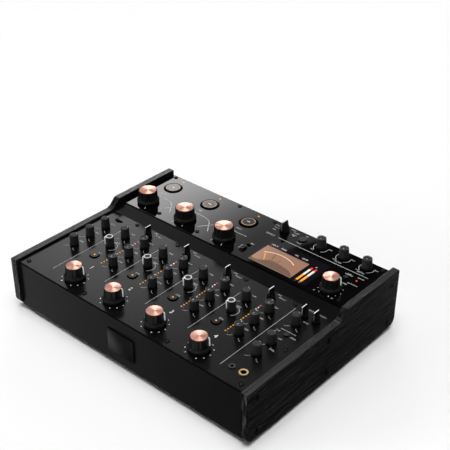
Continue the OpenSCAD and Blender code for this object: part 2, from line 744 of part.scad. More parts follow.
// Mains supply on the floor behind the inlet: case, transformer and capacitor
module power_supply() {
    seat = supply_size[2] - eps;
    at(supply_at, base_z + tray_t) {
        cube(supply_size);
        translate([6, 8, seat]) cube([32, 30, 26]);
        translate([52, 30, seat]) cylinder(r = 9, h = 24);
        translate([50, 62, seat]) cube([8, 40, 22]);
    }
}

// Quarter-inch or mini phone socket with its collar above the deck
module phone_socket(bore, collar_r, body) {
    difference() {
        union() {
            cylinder(r = collar_r, h = 1);
            translate([0, 0, -deck_t - eps]) cylinder(r = collar_r - 0.5, h = deck_t + 2 * eps);
            translate([-body / 2, -body / 2, -deck_t - 14]) cube([body, body, 14]);
        }
        translate([0, 0, -deck_t - 13]) cylinder(r = bore, h = deck_t + 20);
    }
}

// Pair of phono sockets on one insulating plate, facing the rear
module phono_pair() {
    rotate([-90, 0, 0]) {
        translate([-phono_plate[0] / 2, -phono_plate[1] / 2, 0]) cube(phono_plate);
        for (z = [-1, 1]) translate([0, z * phono_pitch / 2, 0]) difference() {
            union() {
                translate([0, 0, phono_plate[2] - eps]) cylinder(r = 5.4, h = 0.8);
                translate([0, 0, phono_plate[2] - eps]) cylinder(r = phono_r, h = phono_len - phono_plate[2]);
            }
            translate([0, 0, phono_plate[2] + 1]) cylinder(r = 1.6, h = phono_len);
        }
    }
}

// Three-pin balanced output: square flange, round well and its pins
module xlr_socket() {
    rotate([-90, 0, 0]) difference() {
        union() {
            translate([-xlr_face[0] / 2, -xlr_face[1] / 2, 0]) cube([xlr_face[0], xlr_face[1], socket_face_t]);
            translate([0, 0, -xlr_depth]) cylinder(r = xlr_r + 2, h = xlr_depth + eps);
        }
        difference() {
            translate([0, 0, -xlr_depth + 2]) cylinder(r = xlr_r, h = xlr_depth + 10);
            for (a = [30, 150, 270]) rotate([0, 0, a]) translate([xlr_r - 2.6, 0, -xlr_depth])
                cylinder(r = 1.2, h = xlr_depth - 2);
        }
    }
}

// Quarter-inch socket on the rear wall
module rear_phone_socket() {
    rotate([-90, 0, 0]) difference() {
        union() {
            cylinder(r = 7, h = 3);
            translate([0, 0, -tray_t - 16]) cylinder(r = 5.4, h = tray_t + 16 + eps);
        }
        translate([0, 0, -tray_t - 15]) cylinder(r = phone_bore_r, h = 40);
    }
}

// Mains inlet: flange, well with cut corners and three blades in its upper half
module mains_inlet() {
    c = inlet_cavity;
    corner = 4;
    rotate([-90, 0, 0]) difference() {
        union() {
            translate([-inlet_face[0] / 2, -inlet_face[1] / 2, 0])
                cube([inlet_face[0], inlet_face[1], socket_face_t]);
            translate([-c[0] / 2 - 1.5, -c[1] / 2 - 1.5, -c[2] - 1.5])
                cube([c[0] + 3, c[1] + 3, c[2] + 1.5 + eps]);
        }
        difference() {
            translate([0, 0, -c[2]]) linear_extrude(c[2] + 10) polygon([
                [-c[0] / 2, c[1] / 2], [c[0] / 2, c[1] / 2], [c[0] / 2, -c[1] / 2 + corner],
                [c[0] / 2 - corner, -c[1] / 2], [-c[0] / 2 + corner, -c[1] / 2], [-c[0] / 2, -c[1] / 2 + corner]
            ]);
            for (x = [-7, 0, 7]) translate([x - 1, -4.5, -c[2] - 1]) cube([2, 4, c[2] - 2]);
        }
    }
}

// Frame of the power rocker, with bores for its pins
module rocker_frame() {
    w = rocker_w + 3;
    h = rocker_h + 4.4;
    difference() {
        translate([-w / 2, -10, -h / 2]) cube([w, 10 + socket_face_t, h]);
        translate([-rocker_w / 2 - 0.3, -8.4, -h / 2 + 1.2]) cube([rocker_w + 0.6, 20, h - 2.4]);
        translate([0, -rocker_recess, 0]) rotate([0, 90, 0])
            cylinder(r = rocker_pin_r + run_fit, h = w - 1, center = true);
    }
}

// Holes in the rear wall behind every socket
module rear_cutouts() {
    depth = 4 * tray_t;
    for (i = [1:4], s = [-1, 1], z = [-1, 1])
        translate([phono_at(i, s), bay_wall, phono_z + z * phono_pitch / 2]) rotate([90, 0, 0])
            cylinder(r = 3, h = depth, center = true);
    for (z = xlr_zs) translate([xlr_x, bay_wall, z]) rotate([90, 0, 0])
        cylinder(r = xlr_r + 2 + set_fit, h = depth, center = true);
    for (z = rear_phone_zs) translate([rear_phone_x, bay_wall, z]) rotate([90, 0, 0])
        cylinder(r = 5.4 + set_fit, h = depth, center = true);
    translate([inlet_x, bay_wall, inlet_z]) cube([
        inlet_cavity[0] + 3 + 2 * set_fit, depth, inlet_cavity[1] + 3 + 2 * set_fit
    ], center = true);
    translate([rocker_x, bay_wall, inlet_z]) cube([
        rocker_w + 3 + 2 * set_fit, depth, rocker_h + 4.4 + 2 * set_fit
    ], center = true);
}

module sockets() {
    color("#c9a35a") at(phone_jack_at, deck_z) phone_socket(phone_bore_r, 5.3, 13);
    color("#2b2b2c") at(mini_jack_at, deck_z) phone_socket(mini_bore_r, 4.1, 9);
    color("#2b2b2c") translate([0, bay_wall, 0]) {
        for (i = [1:4], s = [-1, 1]) translate([phono_at(i, s), 0, phono_z]) phono_pair();
        for (z = xlr_zs) translate([xlr_x, 0, z]) xlr_socket();
        for (z = rear_phone_zs) translate([rear_phone_x, 0, z]) rear_phone_socket();
        translate([inlet_x, 0, inlet_z]) mains_inlet();
        translate([rocker_x, 0, inlet_z]) rocker_frame();
    }
}

// Rubber feet with a recess for their screw
module feet() {
    color("#101010") for (p = feet_at()) at(p, 0) difference() {
        cylinder(r1 = foot_r - 1, r2 = foot_r, h = foot_h);
        translate([0, 0, -1]) cylinder(r = head_r + 0.6, h = foot_h - 2);
        cylinder(r = screw_r + screw_fit, h = foot_h + 1);
    }
}

// Button-head screw, its head seated at z = 0
module button_screw(len) {
    difference() {
        union() {
            rotate_extrude() polygon([
                [0, 0], [head_r, 0], [head_r, 0.3], [head_r - 0.7, head_h], [0, head_h]
            ]);
            translate([0, 0, -len]) cylinder(r = screw_r, h = len + eps);
        }
        translate([0, 0, 0.1]) cylinder(r = 1.1, h = 2, $fn = 6);
    }
}

module cheek_screw() {
    difference() {
        union() {
            cylinder(r1 = screw_r, r2 = cheek_screw_r, h = 2.2);
            translate([0, 0, -cheek_screw_len]) cylinder(r = screw_r, h = cheek_screw_len + eps);
        }
        translate([-cheek_screw_r - 1, -0.5, 1.4]) cube([2 * cheek_screw_r + 2, 1, 2]);
    }
}

module screws() {
    color("#19191a") {
        for (p = deck_screws) at(p, deck_z) button_screw(screw_len);
        for (i = [0:3]) at(panel_screws[i], panel_z) button_screw(screw_len);
        for (i = [4:6]) at(panel_screws[i], panel_z) button_screw(screw_len);
        for (p = feet_at()) at(p, foot_h - 3) mirror([0, 0, 1]) button_screw(screw_len - 1);
        for (s = cheek_screws, x = [-1, 1]) translate([x * (body_w / 2 - 2.9), s[0], s[1]])
            rotate([0, x * 90, 0]) cheek_screw();
    }
}

// ---- moving pieces ----

module level_knob(i) {
    at(level_at(i), deck_z) big_knob(cap_r, deck_t);
}

module small_deck_knob(p) {
    at(p, deck_z) small_knob(small_top_r, small_foot_r, deck_t);
}

module isolator_knob(i) {
    at(isolator_at(i), panel_z) big_knob(isolator_cap_r, panel_t);
}

module effect_knob(i) {
    at(effect_at(i), panel_z) small_knob(effect_top_r, effect_foot_r, panel_t);
}

module master_knob() {
    at(master_at, panel_z) big_knob(cap_r, panel_t);
}

module input_selector(i) {
    at(selector_at(i), deck_z) pointer_knob(selector_r, deck_t);
}

module phones_selector(i) {
    at(phones_selector_at(i), deck_z) pointer_knob(selector_r, deck_t);
}

module effect_selector() {
    at(effect_selector_at, panel_z) pointer_knob(effect_selector_r, panel_t);
}

module mic_switch() {
    at(mic_switch_at, deck_z) translate([-mic_travel / 2, 0, 0]) slide_lever(mic_lever, deck_t);
}

module isolator_switch() {
    at(isolator_switch_at, panel_z) rotate([0, 0, 90]) translate([-isolator_travel / 2, 0, 0])
        slide_lever(isolator_lever, panel_t);
}

module cue_buttons() {
    for (i = [1:4]) at(cue_at(i), deck_z) push_button(cue_r, deck_t);
}

module boost_buttons() {
    for (i = [1:3]) at(boost_at(i), panel_z) push_button(boost_r, panel_t, big_stem);
}

module round_buttons() {
    at(phones_button_at, deck_z) push_button(round_r, deck_t);
    at(aux_button_at, panel_z) push_button(round_r, panel_t);
    at(tap_at, panel_z) push_button(tap_r, panel_t);
}

// Rocker on two pins, resting with its upper half proud
module power_switch() {
    color("#222223") translate([rocker_x, bay_wall - rocker_recess, inlet_z]) rotate([-rocker_tilt, 0, 0]) {
        rotate([90, 0, 90]) linear_extrude(rocker_w, center = true) polygon([
            [-2, -rocker_h / 2], [4.6, -rocker_h / 2], [3.4, 0], [4.6, rocker_h / 2], [-2, rocker_h / 2]
        ]);
        rotate([0, 90, 0]) cylinder(r = rocker_pin_r, h = rocker_w + 1.6, center = true);
    }
}

bottom_tray();
channel_deck();
rear_panel();
left_cheek();
right_cheek();
display_glass();
control_boards();
sockets();
feet();
screws();
level_knob(1);  // level_knob_1
level_knob(2);  // level_knob_2
level_knob(3);  // level_knob_3
level_knob(4);  // level_knob_4
small_deck_knob(send_at(1));  // send_knob_1
small_deck_knob(send_at(2));  // send_knob_2
small_deck_knob(send_at(3));  // send_knob_3
small_deck_knob(send_at(4));  // send_knob_4
small_deck_knob(trim_at(1));  // trim_knob_1
small_deck_knob(trim_at(2));  // trim_knob_2
small_deck_knob(trim_at(3));  // trim_knob_3
small_deck_knob(trim_at(4));  // trim_knob_4
small_deck_knob(eq_at(1, 1));  // low_knob_1
small_deck_knob(eq_at(2, 1));  // low_knob_2
small_deck_knob(eq_at(3, 1));  // low_knob_3
small_deck_knob(eq_at(4, 1));  // low_knob_4
small_deck_knob(eq_at(1, 2));  // mid_knob_1
small_deck_knob(eq_at(2, 2));  // mid_knob_2
small_deck_knob(eq_at(3, 2));  // mid_knob_3
small_deck_knob(eq_at(4, 2));  // mid_knob_4
small_deck_knob(eq_at(1, 3));  // high_knob_1
small_deck_knob(eq_at(2, 3));  // high_knob_2
small_deck_knob(eq_at(3, 3));  // high_knob_3
small_deck_knob(eq_at(4, 3));  // high_knob_4
input_selector(1);  // input_selector_1
input_selector(2);  // input_selector_2
input_selector(3);  // input_selector_3
input_selector(4);  // input_selector_4
small_deck_knob(mic_at(1));  // mic_level_knob
small_deck_knob(mic_at(2));  // mic_low_knob
small_deck_knob(mic_at(3));  // mic_high_knob
mic_switch();
small_deck_knob(phones_level_at);  // phones_level_knob
small_deck_knob(phones_mix_at);  // phones_mix_knob
small_deck_knob(phones_tone_at);  // phones_tone_knob
phones_selector(1);  // phones_cue_selector
phones_selector(2);  // phones_mono_selector
isolator_knob(1);  // isolator_low_knob
isolator_knob(2);  // isolator_mid_knob
isolator_knob(3);  // isolator_high_knob
isolator_switch();
effect_selector();
effect_knob(1);  // effect_knob_1
effect_knob(2);  // effect_knob_2
effect_knob(3);  // effect_knob_3
master_knob();
cue_buttons();
boost_buttons();
round_buttons();
power_switch();
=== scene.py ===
import json
import math

import bmesh
import bpy
from mathutils import Matrix, Vector


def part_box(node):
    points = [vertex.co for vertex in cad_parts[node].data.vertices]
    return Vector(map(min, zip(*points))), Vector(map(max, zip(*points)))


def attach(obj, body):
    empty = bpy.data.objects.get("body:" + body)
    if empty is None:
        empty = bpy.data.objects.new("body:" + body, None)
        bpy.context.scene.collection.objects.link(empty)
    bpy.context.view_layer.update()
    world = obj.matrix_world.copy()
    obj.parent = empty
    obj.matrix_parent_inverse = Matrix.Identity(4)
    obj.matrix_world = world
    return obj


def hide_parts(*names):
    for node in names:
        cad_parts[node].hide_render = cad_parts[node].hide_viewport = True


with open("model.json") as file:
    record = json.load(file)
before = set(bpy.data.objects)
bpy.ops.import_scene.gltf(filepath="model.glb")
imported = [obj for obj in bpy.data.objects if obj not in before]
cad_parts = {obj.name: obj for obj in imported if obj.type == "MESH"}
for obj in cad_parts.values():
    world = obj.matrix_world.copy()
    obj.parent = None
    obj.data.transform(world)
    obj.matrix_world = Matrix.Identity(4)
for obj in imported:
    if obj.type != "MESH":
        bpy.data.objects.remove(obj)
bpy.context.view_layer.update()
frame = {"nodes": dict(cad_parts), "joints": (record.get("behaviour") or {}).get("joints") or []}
nodes = frame["nodes"]
mm = 0.001
turning = [j for j in frame["joints"] if j["type"] == "hinge"]
hinges = {j["child"]: Vector(j["pos_m"]) for j in turning}
pointers = {j["child"]: 150 + j["range_deg"][0] for j in turning}  # clock angles at rest
deckTop = hinges["level_knob_1"].z
panelTop = hinges["master_knob"].z
scene = bpy.context.scene
scene.view_settings.view_transform = "Standard"
print("frame loaded", len(nodes), "nodes")


class Wire:  # one output socket that can be used in sums
    def __init__(self, finish, node, output=0):
        self.finish = finish
        self.node = node
        self.socket = node.outputs[output]

    def __getitem__(self, output):
        return Wire(self.finish, self.node, output)

    def maths(self, operation, *values):
        return self.finish.add("ShaderNodeMath", {"operation": operation}, dict(enumerate(values)))

    def __add__(self, other):
        return self.maths("ADD", self, other)

    def __radd__(self, other):
        return self.maths("ADD", other, self)

    def __sub__(self, other):
        return self.maths("SUBTRACT", self, other)

    def __rsub__(self, other):
        return self.maths("SUBTRACT", other, self)

    def __mul__(self, other):
        return self.maths("MULTIPLY", self, other)

    def __rmul__(self, other):
        return self.maths("MULTIPLY", other, self)

    def __truediv__(self, other):
        return self.maths("DIVIDE", self, other)

    def above(self, other):
        return self.maths("GREATER_THAN", self, other)

    def below(self, other):
        return self.maths("LESS_THAN", self, other)

    def size(self):
        return self.maths("ABSOLUTE", self)

    def most(self, other):
        return self.maths("MAXIMUM", self, other)

    def root(self):
        return self.maths("SQRT", self)

    def inside(self, low, high):
        return self.above(low) * self.below(high)

    def soft(self, low, high):  # 0 below low, 1 above high
        return self.finish.add("ShaderNodeMapRange", {"interpolation_type": "SMOOTHSTEP"},
                               {"Value": self, "From Min": low, "From Max": high})

    def near(self, centre, inner, outer):  # 1 up to inner from the centre, 0 beyond outer
        return 1 - (self - centre).size().soft(inner, outer)


class Finish:  # the nodes of a material, or of the world
    def __init__(self, owner, shader, out):
        owner.use_nodes = True
        self.owner = owner
        self.tree = owner.node_tree
        self.tree.nodes.clear()
        self.shader = self.tree.nodes.new(shader)
        end = self.tree.nodes.new(out)
        self.tree.links.new(self.shader.outputs[0], end.inputs["Surface"])

    def put(self, node, values):
        for key, value in values.items():
            socket = node.inputs[key]
            if isinstance(value, Wire):
                self.tree.links.new(value.socket, socket)
            elif isinstance(value, tuple) and len(value) == 3 and len(socket.default_value) == 4:
                socket.default_value = (*value, 1)
            else:
                socket.default_value = value

    def add(self, kind, settings=None, values=None):
        node = self.tree.nodes.new(kind)
        for key, value in (settings or {}).items():
            setattr(node, key, value)
        self.put(node, values or {})
        return Wire(self, node)

    def set(self, **values):  # Base_Color stands for the socket Base Color
        self.put(self.shader, {k.replace("_", " "): v for k, v in values.items()})

    def place(self):  # where a point lies in the mixer, in millimetres
        return self.vector("SCALE", self.add("ShaderNodeTexCoord")["Object"], scale=1 / mm)

    def ownPlace(self):  # where it lies in its own piece, with the pointer at +Y
        own = self.add("ShaderNodeAttribute", {"attribute_name": "local"})["Vector"]
        return self.vector("SCALE", own, scale=1 / mm)

    def axes(self, vector):
        split = self.add("ShaderNodeSeparateXYZ", values={"Vector": vector})
        return split["X"], split["Y"], split["Z"]

    def mix(self, mask, first, second):
        colours = {0: mask, 6: first, 7: second}  # the sockets of the mask and of the two colours
        return self.add("ShaderNodeMix", {"data_type": "RGBA"}, colours)[2]

    def noise(self, vector, scale, detail=3.0, rough=0.5):
        return self.add("ShaderNodeTexNoise", values={"Vector": vector, "Scale": scale, "Detail": detail,
                                                      "Roughness": rough})

    def stretch(self, vector, scale):
        return self.add("ShaderNodeMapping", values={"Vector": vector, "Scale": scale})

    def vector(self, operation, first, second=None, scale=None):
        values = {0: first}
        if second is not None:
            values[1] = second
        if scale is not None:
            values["Scale"] = scale
        return self.add("ShaderNodeVectorMath", {"operation": operation}, values)

    def bump(self, height, strength, distance):
        self.set(Normal=self.add("ShaderNodeBump", values={"Height": height, "Strength": strength,
                                                           "Distance": distance}))


finishes = {}


def finish(name, **values):
    made = Finish(bpy.data.materials.new(name), "ShaderNodeBsdfPrincipled", "ShaderNodeOutputMaterial")
    made.set(**values)
    finishes[name] = made
    return made


def lathe(bm, profile, steps=64):  # turns a line of radius and height pairs round Z
    start = [bm.verts.new((r * mm, 0, z * mm)) for r, z in profile]
    line = [bm.edges.new(pair) for pair in zip(start, start[1:])]
    bmesh.ops.spin(bm, geom=start + line, cent=(0, 0, 0), axis=(0, 0, 1), angle=math.tau, steps=steps,
                   use_merge=True)
    bmesh.ops.remove_doubles(bm, verts=bm.verts, dist=1e-6)


def block(bm, size, centre, turn=0.0):
    spot = Matrix.Translation(Vector(centre) * mm) @ Matrix.Rotation(math.radians(turn), 4, "Z")
    bmesh.ops.create_cube(bm, size=1, matrix=spot @ Matrix.Diagonal((*(Vector(size) * mm), 1)))


def disc(bm, radius, height, centre, steps):
    spot = Matrix.Translation(Vector(centre) * mm)
    bmesh.ops.create_cone(bm, cap_ends=True, segments=steps, radius1=radius * mm, radius2=radius * mm,
                          depth=height * mm, matrix=spot)


def bevel(bm, edges, width, clamp=True):
    bmesh.ops.bevel(bm, geom=edges, offset=width * mm, affect="EDGES", segments=2, profile=0.5, material=-1,
                    clamp_overlap=clamp)


def piece(name, bm, body, looks, origin=(0, 0, 0), stands=(), sharp=32, turn=0.0):
    bmesh.ops.recalc_face_normals(bm, faces=bm.faces)
    mesh = bpy.data.meshes.new(name)
    for e in bm.edges:
        e.smooth = e.calc_face_angle(0) < math.radians(sharp)
    for f in bm.faces:
        f.smooth = True
    bmesh.ops.translate(bm, verts=bm.verts, vec=origin)
    bm.to_mesh(mesh)
    bm.free()
    local = mesh.attributes.new("local", "FLOAT_VECTOR", "POINT")  # own coordinates, with the pointer at +Y
    start = Vector(origin)
    swing = Matrix.Rotation(math.radians(turn), 3, "Z")
    for vertex, place in zip(mesh.vertices, local.data):
        place.vector = swing @ (vertex.co - start)
    for look in looks:
        mesh.materials.append(finishes[look].owner)
    obj = bpy.data.objects.new(name, mesh)
    scene.collection.objects.link(obj)
    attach(obj, body)
    if stands:
        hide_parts(*stands)


def tint(bm, known, index):  # gives the faces made since known was taken one of the piece's finishes
    for face in bm.faces:
        if face not in known:
            face.material_index = index


def cadCopy(node):  # a merged copy of a CAD node's mesh, with its flat faces whole again
    bm = bmesh.new()
    bm.from_mesh(nodes[node].data)
    bmesh.ops.remove_doubles(bm, verts=bm.verts, dist=2e-6)
    bmesh.ops.dissolve_limit(bm, angle_limit=math.radians(0.5), verts=bm.verts, edges=bm.edges)
    return bm


def dress(node, look):
    mesh = nodes[node].data
    mesh.materials.clear()
    mesh.materials.append(finishes[look].owner)


def shades(colour, spread):  # a darker and a lighter form of a colour
    return tuple(c * (1 - spread) for c in colour), tuple(c * (1 + spread) for c in colour)


paints = {
    "chassisPaint": {"colour": (0.003, 0.003, 0.0032), "rough": 0.36, "grain": 2.2, "depth": 0.03,
                     "shine": 0.38},
    "deckPaint": {"colour": (0.0028, 0.0028, 0.003), "rough": 0.24, "grain": 1.9, "depth": 0.02,
                  "shine": 0.25},
}


def paintFinish(name, colour, rough, grain, depth, shine):  # black paint with a fine texture
    paint = finish(name, Specular_IOR_Level=shine)
    spot = paint.place()
    speckle = paint.noise(spot, grain, 4, 0.6)
    cloud = paint.noise(spot, 0.02, 2)
    paint.set(Base_Color=paint.mix(cloud.soft(0.3, 0.7), *shades(colour, 0.15)))
    paint.set(Roughness=speckle.soft(0.2, 0.8) * 0.08 + (rough - 0.04))
    paint.bump(speckle, 0.5, depth * mm)


def glossFinish(name, colour):  # a polished sheet with a faint waviness in its shine
    gloss = finish(name, Base_Color=colour)
    gloss.set(Roughness=gloss.noise(gloss.place(), 0.05, 3).soft(0.4, 0.75) * 0.012 + 0.018)


for name, values in paints.items():
    paintFinish(name, **values)
glossFinish("panelGloss", (0.0015, 0.0015, 0.0018))

stain = {"dark": (0.0008, 0.0008, 0.0008), "light": (0.026, 0.0255, 0.025),
         "endDark": (0.0012, 0.0012, 0.0012), "endLight": (0.06, 0.058, 0.056), "endDepth": 0.4}


def woodFinish():  # black-stained wood with an open grain, which runs upright on the front ends
    wood = finish("cheekWood", Specular_IOR_Level=0.42)
    spot = wood.place()
    warp = wood.noise(wood.stretch(spot, (0.03, 0.008, 0.03)), 1.0, 2)
    x, y, z = wood.axes(spot)
    bent = wood.add("ShaderNodeCombineXYZ", values={"X": x + warp * 4, "Y": y * 0.02, "Z": z + warp * 5})
    figure = wood.noise(wood.stretch(bent, (0.5, 1, 0.5)), 1.0, 4, 0.66)
    pores = wood.noise(wood.stretch(bent, (1.6, 2.2, 1.6)), 1.0, 3, 0.6)
    streak = (figure * 0.66 + pores * 0.46).soft(0.52, 0.64)
    ends = y.below(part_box("right_cheek")[0].y / mm + stain["endDepth"])
    upright = wood.noise(wood.stretch(spot, (0.55, 1, 0.05)), 1.0, 4, 0.6).soft(0.5, 0.62)
    wood.set(Base_Color=wood.mix(ends, wood.mix(streak, stain["dark"], stain["light"]),
                                 wood.mix(upright, stain["endDark"], stain["endLight"])))
    wood.set(Roughness=0.32 - streak * 0.14)
    wood.bump(streak, 0.35, 0.08 * mm)


woodFinish()

rubber = finish("kneadedRubber", Base_Color=(0.018, 0.018, 0.018), Roughness=0.7)
rubber.bump(rubber.noise(rubber.place(), 1.5, 4), 0.3, 0.04 * mm)
screw = {"colour": (0.05, 0.05, 0.051), "shaded": (0.001, 0.001, 0.001), "cheekFrom": 178}


def screwFinish():  # the screws sunk in the cheeks are darkened with painted shade
    look = finish("screwBlack", Roughness=0.34, Metallic=0.7)
    spot = look.place()
    # this marks the cheek screws, whose colour is painted shade
    sunk = look.axes(spot)[0].size().above(screw["cheekFrom"])
    look.set(Base_Color=look.mix(sunk, screw["colour"], screw["shaded"]))
    look.bump(look.noise(spot, 4.0, 3), 0.2, 0.01 * mm)


screwFinish()
steel = finish("shaftSteel", Base_Color=(0.6, 0.6, 0.61), Metallic=1.0)
steel.set(Roughness=steel.noise(steel.stretch(steel.place(), (1, 1, 6)), 1.0, 3) * 0.2 + 0.2)
gold = finish("socketGold", Base_Color=(0.85, 0.6, 0.26), Metallic=0.6)
gold.set(Roughness=gold.noise(gold.place(), 2.0, 3) * 0.12 + 0.18)
moulded = finish("mouldedBlack", Base_Color=(0.006, 0.006, 0.0062), Roughness=0.4, Specular_IOR_Level=0.35)
moulded.bump(moulded.noise(moulded.place(), 2.5, 3), 0.2, 0.02 * mm)

# the phono sockets stand in fours about a middle line, repeated at a pitch
phono = {"middle": -101.6, "pitch": 67.05, "apart": 9.0, "height": 29.0, "radius": 4.3, "face": 134.5,
         "last": 130, "black": (0.012, 0.012, 0.0124), "gold": (0.75, 0.54, 0.25)}


def socketFinish():  # black blocks with gold barrels
    socket = finish("socketBlack", Roughness=0.35)
    x, y, z = socket.axes(socket.place())
    half = phono["pitch"] / 2
    aside = x.maths("WRAP", x - phono["middle"], half, -half).size() - phono["apart"]
    over = (z - phono["height"]).size() - phono["apart"]
    barrel = (aside * aside + over * over).root().below(phono["radius"])
    barrel = barrel * y.above(phono["face"]) * x.size().below(phono["last"])
    socket.set(Base_Color=socket.mix(barrel, phono["black"], phono["gold"]), Metallic=barrel * 0.6)


socketFinish()
circuit = {"mask": (0.012, 0.06, 0.028), "trace": (0.02, 0.1, 0.045), "guide": (0.004, 0.0035, 0.003),
           "guideFrom": 60}


def boardFinish():  # green boards with their traces, and smoked light guides above them
    board = finish("boardGreen", Roughness=0.4)
    spot = board.place()
    x, y, z = board.axes(spot)
    trace = board.noise(board.stretch(spot, (0.4, 0.05, 1)), 1.0, 2).soft(0.52, 0.56)
    green = board.mix(trace, circuit["mask"], circuit["trace"])
    board.set(Base_Color=board.mix(z.above(circuit["guideFrom"]), green, circuit["guide"]))


boardFinish()


def inkFinish(name, tone, shine=0.5):
    ink = finish(name, Roughness=0.5, Specular_IOR_Level=shine)
    wear = ink.noise(ink.place(), 0.8, 3).soft(0.3, 0.7)
    ink.set(Base_Color=ink.mix(wear, *shades((tone, tone, tone), 0.1)))


def lightFinish(name, colour, strength):  # lamp lenses and lit screen inks glow a little unevenly; on the pointer ink the glow is painted light
    light = finish(name, Base_Color=colour, Roughness=0.3, Emission_Strength=strength)
    wave = light.noise(light.place(), 0.5, 2).soft(0.3, 0.7)
    light.set(Emission_Color=light.mix(wave, tuple(c * 0.85 for c in colour), colour))


inkFinish("lineInk", 0.36)
inkFinish("wordInk", 0.6)
inkFinish("markInk", 0.8)
# a flat black without shine, used as painted shade round the buttons and on the screw heads
inkFinish("paintedShadeBlack", 0.001, 0.0)
inkFinish("panelInk", 0.5)
# the white pointers are not lamps: their glow is painted light
lightFinish("pointerInkPaintedGlow", (0.8, 0.8, 0.79), 0.35)
lightFinish("amberLight", (0.9, 0.36, 0.02), 0.35)
lightFinish("amberGlow", (0.36, 0.2, 0.07), 0.15)
lightFinish("redLight", (0.9, 0.03, 0.02), 0.6)
lightFinish("whiteLight", (0.9, 0.86, 0.78), 0.45)

markTones = {"deep": (0.002, 0.002, 0.002), "grey": (0.1, 0.1, 0.1), "white": (0.62, 0.62, 0.61)}
# ends darkens the top face and the foot below foot; the foot's darkness is painted shade
smallGrip = {"tone": (0.032, 0.032, 0.033), "ends": (0.009, 0.009, 0.0092), "top": 14.9, "foot": 4.0}


def plasticFinish(name, rough, tone, marks=None):  # black plastic; marks gives the masks of a small knob
    look = finish(name, Roughness=rough)
    spot = look.ownPlace()
    body = look.mix(look.noise(spot, 0.4, 3).soft(0.3, 0.7), *shades(tone, 0.2))
    height = look.noise(spot, 3.0, 4)
    if marks:
        x, y, z = look.axes(spot)
        # darker on the top face and on the foot; the dark foot band is painted shade
        ends = z.above(smallGrip["top"]).most(z.below(smallGrip["foot"]))
        body = look.mix(ends, body, smallGrip["ends"])
        masks = marks(x, y, z, (x * x + y * y).root())
        for key, mask in masks.items():
            body = look.mix(mask, body, markTones[key])
        height = height - masks["white"] * 0.3
    look.set(Base_Color=body)
    look.bump(height, 0.2, 0.02 * mm)


def plainMarks(x, y, z, r):  # a tick at the rim
    return {"white": (x - 0.6).size().below(0.45) * y.above(3.9) * z.above(13.5)}


def sendMarks(x, y, z, r):  # a white ring round a dark middle, and a line over the rim and down
    ring = r.inside(3.3, 4.75) * z.above(14.2)
    line = x.size().below(0.5) * y.above(3.1) * z.above(4.5)
    return {"deep": r.below(3.2) * z.above(14), "white": ring.most(line)}


def dishedMarks(rim, start):  # a sunk top with a grey rim, a dash and a tick
    def marks(x, y, z, r):
        dash = x.size().below(0.4) * (y + 1.7).size().below(0.9) * z.above(14)
        tick = x.size().below(0.45) * y.above(start) * z.above(13.0)
        return {"deep": r.below(4.6) * z.above(14), "grey": r.inside(4.6, rim) * z.above(14.4),
                "white": dash.most(tick)}
    return marks


plasticFinish("gripBlack", 0.36, (0.011, 0.011, 0.0115))
plasticFinish("plainTop", 0.5, smallGrip["tone"], plainMarks)
plasticFinish("sendTop", 0.5, smallGrip["tone"], sendMarks)
plasticFinish("toneTop", 0.5, smallGrip["tone"], dishedMarks(5.2, 3.6))
plasticFinish("effectTop", 0.5, smallGrip["tone"], dishedMarks(5.4, 3.8))
plasticFinish("softTouch", 0.5, (0.006, 0.006, 0.0064))

copper = {"dark": (0.86, 0.43, 0.34), "light": (0.94, 0.49, 0.38), "grooves": 5.0, "tilt": 0.21,
          "spread": 0.06}


def copperFinish():  # turned grooves tip its light along each radius
    cap = finish("spunCopper", Metallic=0.6, Roughness=0.25)
    spot = cap.ownPlace()
    x, y, z = cap.axes(spot)
    radius = (x * x + y * y).root()
    rings = cap.noise(cap.add("ShaderNodeCombineXYZ", values={"X": radius * copper["grooves"]}), 1.0, 2)
    cap.set(Base_Color=cap.mix(rings.soft(0.3, 0.7), copper["dark"], copper["light"]))
    outward = cap.vector("NORMALIZE", cap.vector("MULTIPLY", spot, (1.0, 1.0, 0.0)))
    spaces = {"vector_type": "VECTOR", "convert_from": "OBJECT", "convert_to": "WORLD"}
    outward = cap.add("ShaderNodeVectorTransform", spaces, {"Vector": outward})
    tipped = cap.vector("SCALE", outward, scale=rings * copper["spread"] + copper["tilt"])
    flat = cap.add("ShaderNodeNewGeometry")["Normal"]
    cap.set(Normal=cap.vector("NORMALIZE", cap.vector("ADD", flat, tipped)))


copperFinish()
print("finishes made", len(finishes))

dress("bottom_tray", "chassisPaint")
dress("feet", "kneadedRubber")
dress("sockets", "socketBlack")
dress("control_boards", "boardGreen")
dress("screws", "screwBlack")
cheekTop = {"from": 77, "ease": 0.3}
for side in ("left_cheek", "right_cheek"):  # each with the edges of its top eased
    bm = cadCopy(side)
    edges = [e for e in bm.edges
             if e.calc_face_angle(0) > 1 and all(v.co.z > cheekTop["from"] * mm for v in e.verts)]
    bevel(bm, edges, cheekTop["ease"])
    piece(side + "_wood", bm, "housing", ["cheekWood"], stands=[side], sharp=20)


def foldedSheet(node, name, look, frontY, top, width):  # with its long front edge broken
    bm = cadCopy(node)
    edges = [e for e in bm.edges
             if all(abs(v.co.y - frontY) < 1e-4 and abs(v.co.z - top) < 1e-4 for v in e.verts)]
    bevel(bm, edges, width, False)
    piece(name, bm, "housing", [look], stands=[node], sharp=15)


foldedSheet("channel_deck", "deck_sheet", "deckPaint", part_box("channel_deck")[0].y, deckTop, 0.5)
foldedSheet("rear_panel", "rear_panel_sheet", "panelGloss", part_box("rear_panel")[0].y, panelTop,
            0.5)

